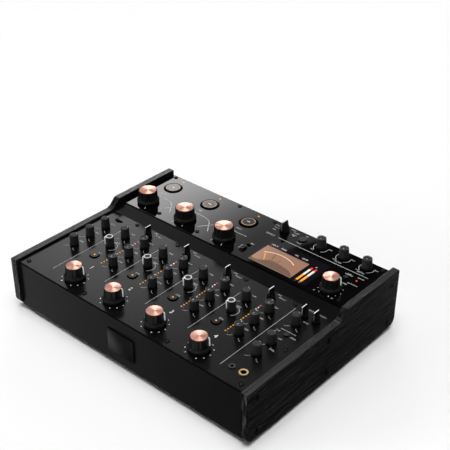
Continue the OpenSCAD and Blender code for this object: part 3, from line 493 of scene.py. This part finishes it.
badge = {"x": -1.0, "z": 35.8, "wide": 42.0, "high": 31.0, "proud": 1.6, "sunk": 0.4, "edge": 0.35}
bm = bmesh.new()
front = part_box("bottom_tray")[0].y / mm
block(bm, (badge["wide"], badge["proud"] + badge["sunk"], badge["high"]),
      (badge["x"], front + (badge["sunk"] - badge["proud"]) / 2, badge["z"]))
bevel(bm, list(bm.edges), badge["edge"])
piece("badge_plate", bm, "housing", ["chassisPaint"])

jack = {"x": 160.9, "y": -111.8, "bore": 3.3, "ring": 5.3, "proud": 0.5, "sunk": 1.0}
bore, ring, proud = jack["bore"], jack["ring"], jack["proud"]
bm = bmesh.new()
lathe(bm, [(bore, -jack["sunk"]), (ring, -jack["sunk"]), (ring, proud - 0.2), (ring - 0.2, proud),
           (bore + 0.3, proud), (bore, proud - 0.3), (bore, -jack["sunk"])], 48)
piece("phone_jack_ring", bm, "housing", ["socketGold"],
      (jack["x"] * mm, jack["y"] * mm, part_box("sockets")[1].z))
print("housing made")

deckSheet = 2  # how thick the sheets are that the shafts pass through
panelSheet = 1.9
# the sizes named Out, and the radii of the rib's outline, are measured out from the edge of the copper cap
bigKnob = {"bore": 3.05, "gap": 1.0, "topOut": 1.0, "footOut": 1.4, "skirtOut": 3.3, "shoulder": 17.1,
           "top": 18.0, "seat": 17.0, "capTop": 18.4, "flutes": 12, "fluteR": 3.4, "fluteDepth": 0.9,
           "fluteFoot": 6.1, "shaftTop": 15.1, "ribWide": 1.1}
ribOutline = [(0.15, 18.1), (0.9, 17.9), (1.7, 17.2), (2.15, 16.1), (2.3, 14.5), (2.55, 6.8)]


def cutFlutes(bm, capR, turn):  # pulls the grip in wherever a flute's round passes through it
    top, foot = capR + bigKnob["topOut"], capR + bigKnob["footOut"]
    fluteR, low = bigKnob["fluteR"], bigKnob["fluteFoot"]
    step = math.tau / bigKnob["flutes"]
    for v in bm.verts:
        r = math.hypot(v.co.x, v.co.y) / mm
        h = v.co.z / mm
        if r <= capR + 0.3 or h <= low:
            continue
        edge = foot + (top - foot) * max(0, min(1, (h - 7) / 10.4))
        angle = math.atan2(v.co.y, v.co.x) + math.radians(turn)
        off = (angle / step) % 1 - 0.5  # flutes at the middles of the steps
        centre = foot + fluteR - bigKnob["fluteDepth"] - (foot - edge)
        across = centre * math.sin(off * step)
        inside = fluteR ** 2 - across ** 2
        if inside <= 0:
            continue
        limit = centre * math.cos(off * step) - math.sqrt(inside)
        fade = max(0, min(1, (h - low) / 1.6))
        if limit < r:
            scale = 1 - (1 - limit / r) * fade
            v.co.x *= scale
            v.co.y *= scale


def grip(name, node, capR):  # the skirted and fluted body, with a seat for its cap
    top, foot, skirt = (capR + bigKnob[key] for key in ("topOut", "footOut", "skirtOut"))
    gap, shoulder, high, seat = (bigKnob[key] for key in ("gap", "shoulder", "top", "seat"))
    profile = [(bigKnob["bore"], gap), (skirt - 0.8, gap), (skirt - 0.25, 1.2), (skirt, 1.8), (skirt, 4.2),
               (skirt - 0.15, 4.6), (skirt - 0.5, 4.85), (foot + 0.6, 5.4), (foot + 0.15, 5.75), (foot, 6.2),
               (foot, 7.1)]
    for i in range(1, 6):
        t = i / 6
        profile.append((foot + (top - foot) * t, 7 + (shoulder - 7) * t))
    profile += [(top, shoulder), (top - 0.1, 17.55), (top - 0.4, 17.85), (top - 0.8, high),
                (capR + 0.1, high), (capR + 0.05, 17.9), (capR + 0.05, seat), (0, seat)]
    bm = bmesh.new()
    lathe(bm, profile, 180)
    cutFlutes(bm, capR, pointers[node])
    piece(name, bm, node, ["gripBlack"], hinges[node], [node], 50, pointers[node])


def copperCap(name, node, capR):
    low, high = bigKnob["seat"] + 0.05, bigKnob["capTop"]
    bm = bmesh.new()
    lathe(bm, [(0, low), (capR, low), (capR, high - 0.28), (capR - 0.1, high - 0.1), (capR - 0.3, high),
               (capR - 0.45, high), (0, high)], 96)
    piece(name, bm, node, ["spunCopper"], hinges[node])


def cappedKnob(name, node, capR, under):
    grip(name, node, capR)
    copperCap(name.replace("grip", "cap"), node, capR)
    rib(name.replace("grip", "rib"), node, [(capR + r, z) for r, z in ribOutline], capR + 0.3,
        bigKnob["ribWide"])
    shaft(name.replace("grip", "shaft"), node, bigKnob["shaftTop"], under)


def fin(bm, outline, width):  # an upright plate with its outline in Y and Z
    flat = bm.faces.new([bm.verts.new(Vector((-width / 2, y, z)) * mm) for y, z in outline])
    grown = bmesh.ops.extrude_face_region(bm, geom=[flat])["geom"]
    moved = [v for v in grown if isinstance(v, bmesh.types.BMVert)]
    bmesh.ops.translate(bm, verts=moved, vec=(width * mm, 0, 0))


def rib(name, node, profile, inner, width):  # the raised white pointer
    bm = bmesh.new()
    fin(bm, [*profile, (inner, profile[-1][1])], width)
    turn = Matrix.Rotation(-math.radians(pointers[node]), 3, "Z")
    bmesh.ops.rotate(bm, verts=bm.verts, cent=(0, 0, 0), matrix=turn)
    piece(name, bm, node, ["pointerInkPaintedGlow"], hinges[node])


shaftSize = {"radius": 3.0, "foot": 0.2, "tip": 0.3, "below": 5.5}


def shaft(name, node, top, under):
    radius, foot, tip = shaftSize["radius"], shaftSize["foot"], shaftSize["tip"]
    low = -under - shaftSize["below"]
    bm = bmesh.new()
    lathe(bm, [(0, low), (radius - foot, low), (radius, low + foot), (radius, top - tip), (radius - tip, top),
               (0, top)], 32)
    piece(name, bm, node, ["shaftSteel"], hinges[node])


small = {"bore": 3.05, "gap": 1.0, "top": 15.0, "shaftTop": 11.7, "dish": 0.3, "deck": (5.3, 5.9),
         "effect": (5.8, 6.9)}  # the last two are radii at the top and at the foot


def smallKnob(node, look, radii, under, dish=0.0):
    topR, footR = radii
    gap, top = small["gap"], small["top"]
    profile = [(small["bore"], gap), (footR - 0.5, gap), (footR - 0.1, 1.15), (footR, 1.5), (footR, 2.7),
               (footR - 0.12, 3.05), (footR - 0.4, 3.2), (topR, 14.1), (topR - 0.03, 14.5),
               (topR - 0.12, 14.8), (topR - 0.3, 14.95), (topR - 0.5, top)]
    if dish:
        profile += [(topR - 0.75, top), (topR - 0.9, top - dish), (topR - 1.1, top - dish)]
    bm = bmesh.new()
    lathe(bm, profile + [(topR - 1.4, top - dish), (0, top - dish)])
    piece(node + "_grip", bm, node, [look], hinges[node], [node], turn=pointers[node])
    shaft(node + "_shaft", node, small["shaftTop"], under)


deckDials = ["mic_level_knob", "mic_low_knob", "mic_high_knob", "phones_level_knob", "phones_mix_knob",
             "phones_tone_knob"]
bands = ("low", "mid", "high")
sendRib = [(3.6, 15.2), (5.6, 15.2), (6.2, 14.9), (6.5, 14.2), (6.5, 13.0), (6.2, 4.5)]
for i in range(1, 5):
    cappedKnob(f"level_grip_{i}", f"level_knob_{i}", 9.7, deckSheet)
    smallKnob(f"send_knob_{i}", "sendTop", small["deck"], deckSheet)
    rib(f"send_rib_{i}", f"send_knob_{i}", sendRib, 3.6, 1.0)
    smallKnob(f"trim_knob_{i}", "plainTop", small["deck"], deckSheet)
    for band in bands:
        smallKnob(f"{band}_knob_{i}", "toneTop", small["deck"], deckSheet, small["dish"])
for node in deckDials:
    smallKnob(node, "plainTop", small["deck"], deckSheet)
for i, band in enumerate(bands, 1):
    cappedKnob(f"isolator_grip_{i}", f"isolator_{band}_knob", 11.5, panelSheet)
    smallKnob(f"effect_knob_{i}", "effectTop", small["effect"], panelSheet, small["dish"])
cappedKnob("master_grip", "master_knob", 9.7, panelSheet)

# where each selector's line starts and ends on its top, and how much further out its front stands
selectors = {f"input_selector_{i}": (-4.2, 4.9, 0) for i in range(1, 5)}
selectors.update(phones_cue_selector=(-5.0, 4.0, 0), phones_mono_selector=(-5.0, 4.0, 0),
                 effect_selector=(-4.6, 6.2, 1.4))
frontHighlight = [(-3.7, 15.05), (-4.1, 14.95), (-4.35, 14.6), (-4.4, 13.2), (-4.75, 5.0), (-4.0, 5.0)]
for node, (start, end, reach) in selectors.items():  # a white line along the top, and a grey painted highlight down the front edge
    dress(node, "softTouch")
    bm = bmesh.new()
    block(bm, (0.9, end - start, 0.06), (0, (start + end) / 2, 15.02))
    known = set(bm.faces)
    fin(bm, [(y - reach, z) for y, z in frontHighlight], 0.5)
    tint(bm, known, 1)
    piece(node + "_line", bm, node, ["pointerInkPaintedGlow", "wordInk"], hinges[node])
for node in ("mic_switch", "isolator_switch", "round_buttons", "power_switch"):
    dress(node, "mouldedBlack")
dress("cue_buttons", "deckPaint")
dress("boost_buttons", "panelGloss")
print("knobs made")

thick = 0.05  # print stands this proud, in mm
sunk = 0.02  # and reaches this far into the surface


def level(z):  # height of the print's middle, in mm
    return z / mm + (thick - sunk) / 2


def bar(bm, x0, y0, x1, y1, width, z):
    size = (math.hypot(x1 - x0, y1 - y0), width, thick + sunk)
    turn = math.degrees(math.atan2(y1 - y0, x1 - x0))
    block(bm, size, ((x0 + x1) / 2, (y0 + y1) / 2, level(z)), turn)


def dot(bm, x, y, radius, z):
    disc(bm, radius, thick + sunk, (x, y, level(z)), 14)


def clock(centre, p, r):  # a point at clock angle p, seen from above with the rear at 12
    a = math.radians(p)
    return centre[0] + r * math.sin(a), centre[1] + r * math.cos(a)


def arc(bm, centre, r, p0, p1, width, z, steps=24):
    x, y = clock(centre, p0, r - width / 2)
    u, v = clock(centre, p0, r + width / 2)
    low = level(z) - (thick + sunk) / 2
    high = level(z) + (thick + sunk) / 2
    corners = [bm.verts.new(Vector(c) * mm) for c in ((x, y, low), (u, v, low), (u, v, high), (x, y, high))]
    face = bm.faces.new(corners)
    bmesh.ops.spin(bm, geom=[face, *face.edges, *face.verts], cent=Vector((*centre, 0)) * mm, axis=(0, 0, 1),
                   angle=-math.radians(p1 - p0), steps=steps)


def circles(bm, spots, radius, width, z, steps):
    for spot in spots:
        arc(bm, spot, radius, 0, 360, width, z, steps)


def word(bm, text, x, y, height, z, look=1):  # a font is 1.35 times as large as its capitals are high
    curve = bpy.data.curves.new("word", "FONT")
    curve.body = text
    curve.align_x = "CENTER"
    curve.align_y = "CENTER"
    curve.size = height * 1.35 * mm
    curve.extrude = (thick + sunk) / 2 * mm
    curve.resolution_u = 2
    obj = bpy.data.objects.new("word", curve)
    letters = bpy.data.meshes.new_from_object(obj)
    letters.transform(Matrix.Translation(Vector((x, y, level(z))) * mm))
    known = set(bm.faces)
    bm.from_mesh(letters)
    tint(bm, known, look)
    bpy.data.objects.remove(obj)
    bpy.data.curves.remove(curve)
    bpy.data.meshes.remove(letters)


def words(bm, table, z, x=0.0, y=0.0):  # each with its place and its height
    for text, (right, rear, height) in table.items():
        word(bm, text, x + right, y + rear, height, z)


def spotOf(node):
    return hinges[node].x / mm, hinges[node].y / mm


deckScrews = [(-170.7, -126.9), (-69.7, -126.9), (64.4, -126.9), (170.7, -126.9), (170.7, -53.3),
              (-130.9, 19.2), (-58.6, 19.2), (53.8, 19.2), (127.6, 19.2)]
panelScrews = [(-170.7, 133.5), (-53.85, 133.5), (5.8, 133.5), (170.7, 133.5), (-120.9, 50.1),
               (-53.85, 50.1), (166.2, 50.1)]
screwRing = {"radius": 2.15, "width": 1.1, "lift": 0.7 * mm}  # a painted shade ring on a screw head's top
channels = [spotOf(f"level_knob_{i}")[0] for i in range(1, 5)]
# cue gap is the radius of the painted shade ring round each cue button
cue = {"right": 0.7, "y": -65.0, "gap": 6.0, "gapWide": 1.3, "light": 1.15}
cueSpots = [(spotOf(f"send_knob_{i}")[0] + cue["right"], cue["y"]) for i in range(1, 5)]
# boost gap is the radius of the painted shade ring round each boost button
boost = {"x": (-153.4, -86.35, -19.3), "y": 110.0, "gap": 12.35, "gapWide": 1.5, "ring": 8.65,
         "ringWide": 1.1, "dash": 5.0, "dashWide": 1.2, "groove": 10.75, "grooveWide": 1.2, "lampY": 130.6}
boostSpots = [(x, boost["y"]) for x in boost["x"]]

# the words of a channel, of the microphone and of the phones are placed from the middle of their own part
channelWords = {"TRIM": (-17.4, -0.4, 2.1), "SEND": (-17.5, -27.2, 2.1), "CUE": (-17.8, -57.5, 2.3),
                "HIGH": (15.4, -0.6, 2.1), "MID": (16.0, -27.5, 2.2), "LOW": (15.4, -54.1, 2.2),
                "LINE": (3.4, 21.0, 2.0), "PHONO": (10.8, 17.4, 2.0)}
micWords = {"LEVEL": (1.5, -54.4, 2.1), "LOW": (1.5, -27.6, 2.1), "HIGH": (1.5, -1.0, 2.1)}
phonesWords = {"LEVEL": (7.6, -63.0, 2.1), "MIX": (2.3, -42.4, 2.2), "CUE": (-8.8, -31.4, 2.1),
               "MAIN": (12.9, -32.7, 2.1), "TONE": (6.4, -0.9, 2.1), "SPLIT": (-2.4, 21.1, 2.1),
               "MONO": (14.0, 21.1, 2.1)}
levelDots = {"at": (25, 55, 90, 120, 150), "out": 16.0, "radius": 0.72, "whiteFrom": 100}
number = {"right": -1.3, "y": -85.3, "height": 6.4}
dialFoot = {"at": 144, "from": 7.4, "to": 10.4, "front": 9.8, "long": 3.6, "width": 0.5}
dividers = {"first": -137, "pitch": 67.45, "width": 0.7, "dotY": 10, "dot": 0.6,
            "ends": [(-117.4, -4), (-95, -4), (-95, -4), (-95, -4), (-117.5, 13)]}


def levelScale(bm, i, z):  # the dots round a level knob, and its channel's number; the front dots get the brighter ink as painted light where the knob shades them
    spot = spotOf(f"level_knob_{i}")
    for p in levelDots["at"]:
        for side in (-1, 1):
            known = set(bm.faces)
            dot(bm, *clock(spot, side * p, levelDots["out"]), levelDots["radius"], z)
            tint(bm, known, 2 if p > levelDots["whiteFrom"] else 1)
    word(bm, str(i), spot[0] + number["right"], number["y"], number["height"], z, look=2)


def dialFeet(bm, spot, z):  # a foot at each end of the knob's travel
    for side in (-1, 1):
        end = clock(spot, side * dialFoot["at"], dialFoot["to"])
        bar(bm, *clock(spot, side * dialFoot["at"], dialFoot["from"]), *end, dialFoot["width"], z)
        bar(bm, *end, end[0] + side * dialFoot["long"], spot[1] - dialFoot["front"], dialFoot["width"], z)


def dividerLines(bm, z):  # between the channels, with a dot behind all but the last
    for n, (front, rear) in enumerate(dividers["ends"]):
        x = dividers["first"] + dividers["pitch"] * n
        bar(bm, x, front, x, rear, dividers["width"], z)
        if n < 4:
            dot(bm, x, dividers["dotY"], dividers["dot"], z)


def deckPrint():
    bm = bmesh.new()
    z = deckTop
    for i, x in enumerate(channels, 1):
        levelScale(bm, i, z)
        arc(bm, spotOf(f"send_knob_{i}"), 9.4, -15, 145, 0.8, z)
        words(bm, channelWords, z, x)
    dials = [f"{row}_knob_{i}" for row in ("trim", *bands) for i in range(1, 5)]
    for node in dials + deckDials:
        dialFeet(bm, spotOf(node), z)
    dividerLines(bm, z)
    words(bm, micWords, z, spotOf("mic_level_knob")[0])
    x = spotOf("phones_level_knob")[0]
    words(bm, phonesWords, z, x)
    bar(bm, x - 8.5, -26.3, x + 12, -26.3, 0.7, z)
    dot(bm, x - 9.5, 10.3, 0.6, z)
    # painted shade rings round the cue buttons and on the screw heads
    known = set(bm.faces)
    circles(bm, cueSpots, cue["gap"], cue["gapWide"], z, 32)
    circles(bm, deckScrews, screwRing["radius"], screwRing["width"], z + screwRing["lift"], 24)
    tint(bm, known, 3)
    piece("deck_print", bm, "housing", ["lineInk", "wordInk", "markInk", "paintedShadeBlack"])


deckPrint()

panelWords = {"ISO": (17, 74.3, 2.6), "EFFECT": (19.4, 107.4, 3.0), "ECHO": (13.7, 130.0, 1.9),
              "DELAY": (15.8, 124.8, 1.9), "DUB": (15.6, 119.5, 1.9), "PHASE": (36.2, 133.4, 1.9),
              "SWEEP": (43.4, 130.0, 1.9), "SPACE": (43.0, 125.3, 1.9), "TAP": (58.1, 132.6, 1.9),
              "CLEAR": (58.8, 114.1, 1.9), "MASTER": (150.0, 80.4, 2.4), "10": (158.5, 47.1, 2.2),
              "0": (133.0, 47.0, 2.2), "HEADROOM": (160.0, 85.0, 1.8), "BALANCE": (146.0, 98.8, 1.9),
              "POWER": (161.6, 101.0, 1.9), "FILTER": (120.4, 112.2, 2.4), "DEPTH": (153.6, 112.0, 2.4),
              "TIME": (145.4, 100.0, 2.2)}
panelLines = [(8.8, 57, 8.8, 65.4, 0.7), (32, 107.3, 167.5, 107.3, 0.7), (42.2, 123.0, 45.4, 123.0, 1.1)]
effectWords = {"MIN": (-7.2, -9.8, 1.8), "MAX": (11.8, 3.0, 1.8)}  # from the middle of each effect knob
crossing = [[(1.2, 82.9), (16.6, 82.4), (27.7, 78.2), (41.4, 59.6)],
            [(24.1, 59.5), (36.6, 75.1), (46.9, 81.6), (68.2, 82.9)]]  # from an isolator knob to the next


def isolatorPrint(bm, band, z):
    x, y = spotOf(f"isolator_{band}_knob")
    for p in (-150, 150):
        bar(bm, *clock((x, y), p, 14.6), *clock((x, y), p, 18.4), 0.7, z)
    word(bm, band.upper(), x, 91.2, 2.4, z)
    if band == "high":
        bar(bm, x + 1, 82.4, x + 20, 82.4, 0.7, z)
        return
    for curve in crossing:
        for a, b in zip(curve, curve[1:]):
            bar(bm, x + a[0], a[1], x + b[0], b[1], 0.9, z)


def effectPrint(bm, spot, z):
    for start, end in ((-150, -70), (70, 150)):
        arc(bm, spot, 9.6, start, end, 0.6, z, 12)
    words(bm, effectWords, z, *spot)


def masterScale(bm, spot, z):
    for p in (-150, -120, -90, -57, -27, 27, 57, 90, 120):
        dot(bm, *clock(spot, p, 14.6), 0.6, z)
    bar(bm, *clock(spot, 153, 13.6), *clock(spot, 153, 16.2), 0.8, z)


def panelPrint():
    bm = bmesh.new()
    z = panelTop
    for band in bands:
        isolatorPrint(bm, band, z)
    for line in panelLines:
        bar(bm, *line, z)
    words(bm, panelWords, z)
    for i in range(1, 4):
        effectPrint(bm, spotOf(f"effect_knob_{i}"), z)
    masterScale(bm, spotOf("master_knob"), z)
    # painted shade rings on the screw heads and round the boost buttons
    known = set(bm.faces)
    circles(bm, panelScrews, screwRing["radius"], screwRing["width"], z + screwRing["lift"], 24)
    circles(bm, boostSpots, boost["gap"], boost["gapWide"], z, 64)
    tint(bm, known, 3)
    piece("panel_print", bm, "housing", ["panelInk", "wordInk", "markInk", "paintedShadeBlack"])


panelPrint()
print("print made")

meter = {"lights": 15, "pitch": 4.41, "amber": 11, "radius": 0.85, "middle": -39.8, "tickRight": 3.0,
         "tick": 0.3}
lamp = {"radius": 1.15, "mic": (-156.5, 42.0), "power": (159.8, 94.6)}


def meterLights(bm, x):  # amber, then white, then one red; every other one has a tick beside it
    last = meter["lights"] - 1
    for n in range(meter["lights"]):
        y = meter["middle"] + (n - last / 2) * meter["pitch"]
        known = set(bm.faces)
        dot(bm, x, y, meter["radius"], deckTop)
        tint(bm, known, 0 if n < meter["amber"] else 1 if n < last else 2)
        if n % 2 == 0:
            known = set(bm.faces)
            dot(bm, x + meter["tickRight"], y, meter["tick"], deckTop)
            tint(bm, known, 3)


bm = bmesh.new()
for x in channels:
    meterLights(bm, x)
dot(bm, *lamp["mic"], lamp["radius"], deckTop)
for x in boost["x"]:
    dot(bm, x, boost["lampY"], lamp["radius"], panelTop)
known = set(bm.faces)
dot(bm, *lamp["power"], lamp["radius"], panelTop)
tint(bm, known, 2)
piece("lamp_lenses", bm, "housing", ["amberLight", "whiteLight", "redLight", "lineInk"])

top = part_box("boost_buttons")[1].z
half = boost["dash"] / 2
bm = bmesh.new()
for x, y in boostSpots:
    arc(bm, (x, y), boost["ring"], 0, 360, boost["ringWide"], top, 64)
    known = set(bm.faces)
    bar(bm, x - half, y, x + half, y, boost["dashWide"], top)
    tint(bm, known, 1)
    # a dark ring at the button's rim, painted shade
    known = set(bm.faces)
    arc(bm, (x, y), boost["groove"], 0, 360, boost["grooveWide"], top, 64)
    tint(bm, known, 2)
piece("boost_rings", bm, "boost_buttons", ["amberGlow", "markInk", "paintedShadeBlack"])

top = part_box("cue_buttons")[1].z
bm = bmesh.new()
for spot in cueSpots:
    dot(bm, *spot, cue["light"], top)
piece("cue_lights", bm, "cue_buttons", ["amberLight"])
print("lamps made")

display = {"left": 33.0, "right": 97.4, "front": 47.3, "rear": 85.5, "face": 0.01 * mm, "drawn": 0.06 * mm,
           "faceLeft": (0.44, 0.26, 0.18), "faceRight": (0.36, 0.19, 0.12),
           "hillFront": (0.34, 0.22, 0.16), "hillRear": (0.175, 0.098, 0.07)}
glossFinish("displayPane", (0.0066, 0.0053, 0.0086))
face = finish("screenFace", Roughness=0.12)
x, y, z = face.axes(face.place())
face.set(Base_Color=face.mix((x + y * 0.35).soft(42, 78), display["faceLeft"], display["faceRight"]))
slope = finish("screenHill", Roughness=0.12)
x, y, z = slope.axes(slope.place())
slope.set(Base_Color=slope.mix(y.soft(46.5, 49.5), display["hillFront"], display["hillRear"]))
screenInks = {"screenCream": (1.0, 0.86, 0.6), "screenAmber": (1.0, 0.36, 0.02),
              "screenRed": (0.72, 0.006, 0.01), "screenNavy": (0.016, 0.018, 0.06),
              "screenRose": (0.45, 0.05, 0.16), "screenSlate": (0.12, 0.14, 0.2),
              "screenWhite": (0.75, 0.72, 0.66), "screenBlack": (0.004, 0.004, 0.005)}
for name, colour in screenInks.items():
    lightFinish(name, colour, 0.12)
looks = ["screenFace", "screenHill", *screenInks]


def area(bm, outline, z):  # a flat picture area
    bm.faces.new([bm.verts.new(Vector((x, y, level(z))) * mm) for x, y in outline])


hill = [(33.0, 47.3), (33.0, 53.0), (38.0, 51.6), (42.3, 52.2), (49.3, 55.7), (55.7, 60.6), (61, 61.6),
        (66.8, 61.4), (76.8, 60.0), (83, 58.8), (87.5, 57.6), (92.7, 54.4), (95.4, 51.6), (97.4, 48.8),
        (97.4, 47.3)]
curves = {"centre": (62.0, 36.0), "screenCream": (41.8, -34, 33, 0.8), "screenSlate": (47.4, -24, 30, 0.35)}
strokes = [("screenAmber", 41.2, 70.5, 48.7, 58.0, 1.0), ("screenAmber", 42.6, 66.2, 44.6, 67.4, 1.8),
           ("screenBlack", 53.6, 75.6, 57.0, 62.5, 0.9), ("screenRose", 67.0, 76.3, 66.6, 69.0, 0.9),
           ("screenNavy", 66.6, 69.0, 66.1, 61.9, 0.9), ("screenSlate", 79.4, 74.3, 77.1, 67.4, 0.9),
           ("screenSlate", 77.1, 67.4, 76.6, 61.2, 0.9), ("screenRed", 87.2, 67.2, 92.2, 65.2, 0.9)]
levelBars = {"x": (104.6, 110.7), "wide": 3.1,
             "parts": [("screenAmber", 50.0, 64.4), ("screenWhite", 64.4, 77.2), ("screenRed", 77.2, 82.0)]}
screenWords = {"INPUT": (40.4, 90.4, 2.6), "FREQ": (54.4, 90.4, 2.6), "MID": (74.5, 90.4, 2.2),
               "LEVEL": (87.4, 90.4, 2.6), "L": (104.6, 47.7, 1.8), "R": (110.7, 47.7, 1.8),
               "dB": (107.6, 85.6, 2.0)}
bm = bmesh.new()
dress("display_glass", "displayPane")


def draw(look, make, *values):
    known = set(bm.faces)
    make(bm, *values)
    tint(bm, known, looks.index(look))


middle = (display["front"] + display["rear"]) / 2
drawn = panelTop + display["drawn"]
draw("screenFace", bar, display["left"], middle, display["right"], middle, display["rear"] - display["front"],
     panelTop + display["face"])
draw("screenHill", area, hill, drawn)
for look in ("screenCream", "screenSlate"):
    draw(look, arc, curves["centre"], *curves[look], drawn, 30)
for look, *stroke in strokes:
    draw(look, bar, *stroke, drawn)
for x in levelBars["x"]:
    for look, front, rear in levelBars["parts"]:
        draw(look, bar, x, front, x, rear, levelBars["wide"], panelTop)
draw("screenWhite", words, screenWords, panelTop)
piece("display_picture", bm, "housing", looks)
print("display made")

camera = {"place": (0.66566, -0.72033, 0.74495), "azimuth": 41.13, "elevation": 31.91, "roll": 0.25,
          "lens": 78.63, "sensor": 36, "nearest": 0.01}


def placeCamera():
    azimuth, elevation, roll = (math.radians(camera[key]) for key in ("azimuth", "elevation", "roll"))
    level = math.cos(elevation)
    back = Vector((math.sin(azimuth) * level, -math.cos(azimuth) * level, math.sin(elevation)))
    side = (-back).cross(Vector((0, 0, 1))).normalized()
    over = side.cross(-back)
    right = side * math.cos(roll) + over * math.sin(roll)
    up = over * math.cos(roll) - side * math.sin(roll)
    lens = bpy.data.cameras.new("camera")
    lens.lens = camera["lens"]
    lens.sensor_width = camera["sensor"]
    lens.clip_start = camera["nearest"]
    holder = bpy.data.objects.new("camera", lens)
    turn = Matrix((right, up, back)).transposed().to_4x4()
    holder.matrix_world = Matrix.Translation(Vector(camera["place"])) @ turn
    scene.collection.objects.link(holder)
    scene.camera = holder


placeCamera()

room = {"floor": 30, "wall": 12, "high": 30}  # half the floor's width, the wall's radius and height, in m
finish("studioFloor", Base_Color=(0.92, 0.92, 0.92), Roughness=0.9)
finish("studioWall", Base_Color=(0, 0, 0), Roughness=0.9, Emission_Color=(1, 1, 1), Emission_Strength=0.93)


def studioPiece(name, bm, look):  # seen by the camera, and not mirrored in anything
    mesh = bpy.data.meshes.new(name)
    bm.to_mesh(mesh)
    bm.free()
    mesh.materials.append(finishes[look].owner)
    obj = bpy.data.objects.new(name, mesh)
    obj.visible_glossy = False
    scene.collection.objects.link(obj)
    return obj


bm = bmesh.new()
bmesh.ops.create_grid(bm, x_segments=1, y_segments=1, size=room["floor"])
floor = studioPiece("floor", bm, "studioFloor")

bm = bmesh.new()
bmesh.ops.create_cone(bm, cap_ends=False, segments=96, radius1=room["wall"], radius2=room["wall"],
                      depth=room["high"])
wall = studioPiece("wall", bm, "studioWall")  # neither lights nor shades anything
wall.visible_diffuse = False
wall.visible_shadow = False
wall.visible_transmission = False

softLight = {"blur": 0.006, "bright": 4.32, "fall": 3.9}  # the long light area that the flat surfaces mirror


def paintSky():  # what the glossy surfaces mirror: soft light areas round a dark room
    sky = Finish(bpy.data.worlds.new("studio"), "ShaderNodeBackground", "ShaderNodeOutputWorld")
    scene.world = sky.owner
    x, y, z = sky.axes(sky.add("ShaderNodeTexCoord")["Generated"])
    angle = y.maths("ARCTAN2", y, x) * (180 / math.pi)
    lift = z.maths("ARCSINE", z) * (180 / math.pi)
    turn = angle + angle.below(0) * 360  # 0 to 360 degrees round from +X
    up = z.most(0.05)
    across, along = x / up, y / up  # where the ray meets a flat light plane overhead
    edge = across - along * 0.375 + 1.3722
    softbox = 1 - edge.soft(-softLight["blur"], softLight["blur"])
    softbox = softbox * (softLight["bright"] - across.soft(-1.273, -0.970) * softLight["fall"])
    softbox = softbox * across.soft(-1.75, -1.5) * along.soft(0.78, 0.98) * (1 - along.soft(1.7, 2.2))
    fill = across.soft(-1.4, -1.2) * (1 - across.soft(-0.75, -0.45)) * along.soft(0.7, 0.85)
    fill = fill * (1 - along.soft(1.04, 1.12)) * 0.05
    beam = (across * 0.754 + along * 0.657).size()  # how far off the line that runs away from the lens
    ceiling = lift.soft(46, 54) * (1 - lift.soft(62, 70)) * (1 - beam.soft(0.08, 0.2))
    ceiling = ceiling * along.soft(0.28, 0.38) * 3.6 + lift.soft(70, 84) * 0.12
    riserGlow = turn.near(173, 8, 16) * lift.near(45, 6, 13) * 0.9
    horizon = turn.near(131, 7, 16) * lift.near(4, 7, 14) * 3.2
    edgeLight = turn.near(207, 4, 9) * lift.near(51, 3, 8) * 4
    around = lift.near(-27, 8, 13) * (turn - 226).size().soft(15, 22) * (turn - 49).size().soft(16, 24) * 0.5
    low = (0.95 - turn.soft(204, 216) * 0.93) * turn.soft(190, 200) * (1 - turn.soft(236, 246))
    low = low * lift.near(-38.5, 6, 10)
    flat = (softbox + fill) * z.above(0.05)
    glow = flat + ceiling + riserGlow + horizon + edgeLight + around + low
    sky.set(Color=(1.0, 1.0, 1.0), Strength=glow + 0.02)


paintSky()

suns = {"overhead": {"energy": 2.75, "spread": 40, "towards": (0.1, -0.1, 1)},
        "fill": {"energy": 1.5, "spread": 30, "towards": (-0.65, -0.75, 0.12)}}
for name, values in suns.items():  # they light the diffuse surfaces; gloss sees the world
    sun = bpy.data.lights.new(name, "SUN")
    sun.angle = math.radians(values["spread"])
    sun.energy = values["energy"]
    holder = bpy.data.objects.new(name, sun)
    holder.visible_glossy = False
    holder.rotation_euler = Vector(values["towards"]).to_track_quat("Z", "Y").to_euler()
    scene.collection.objects.link(holder)
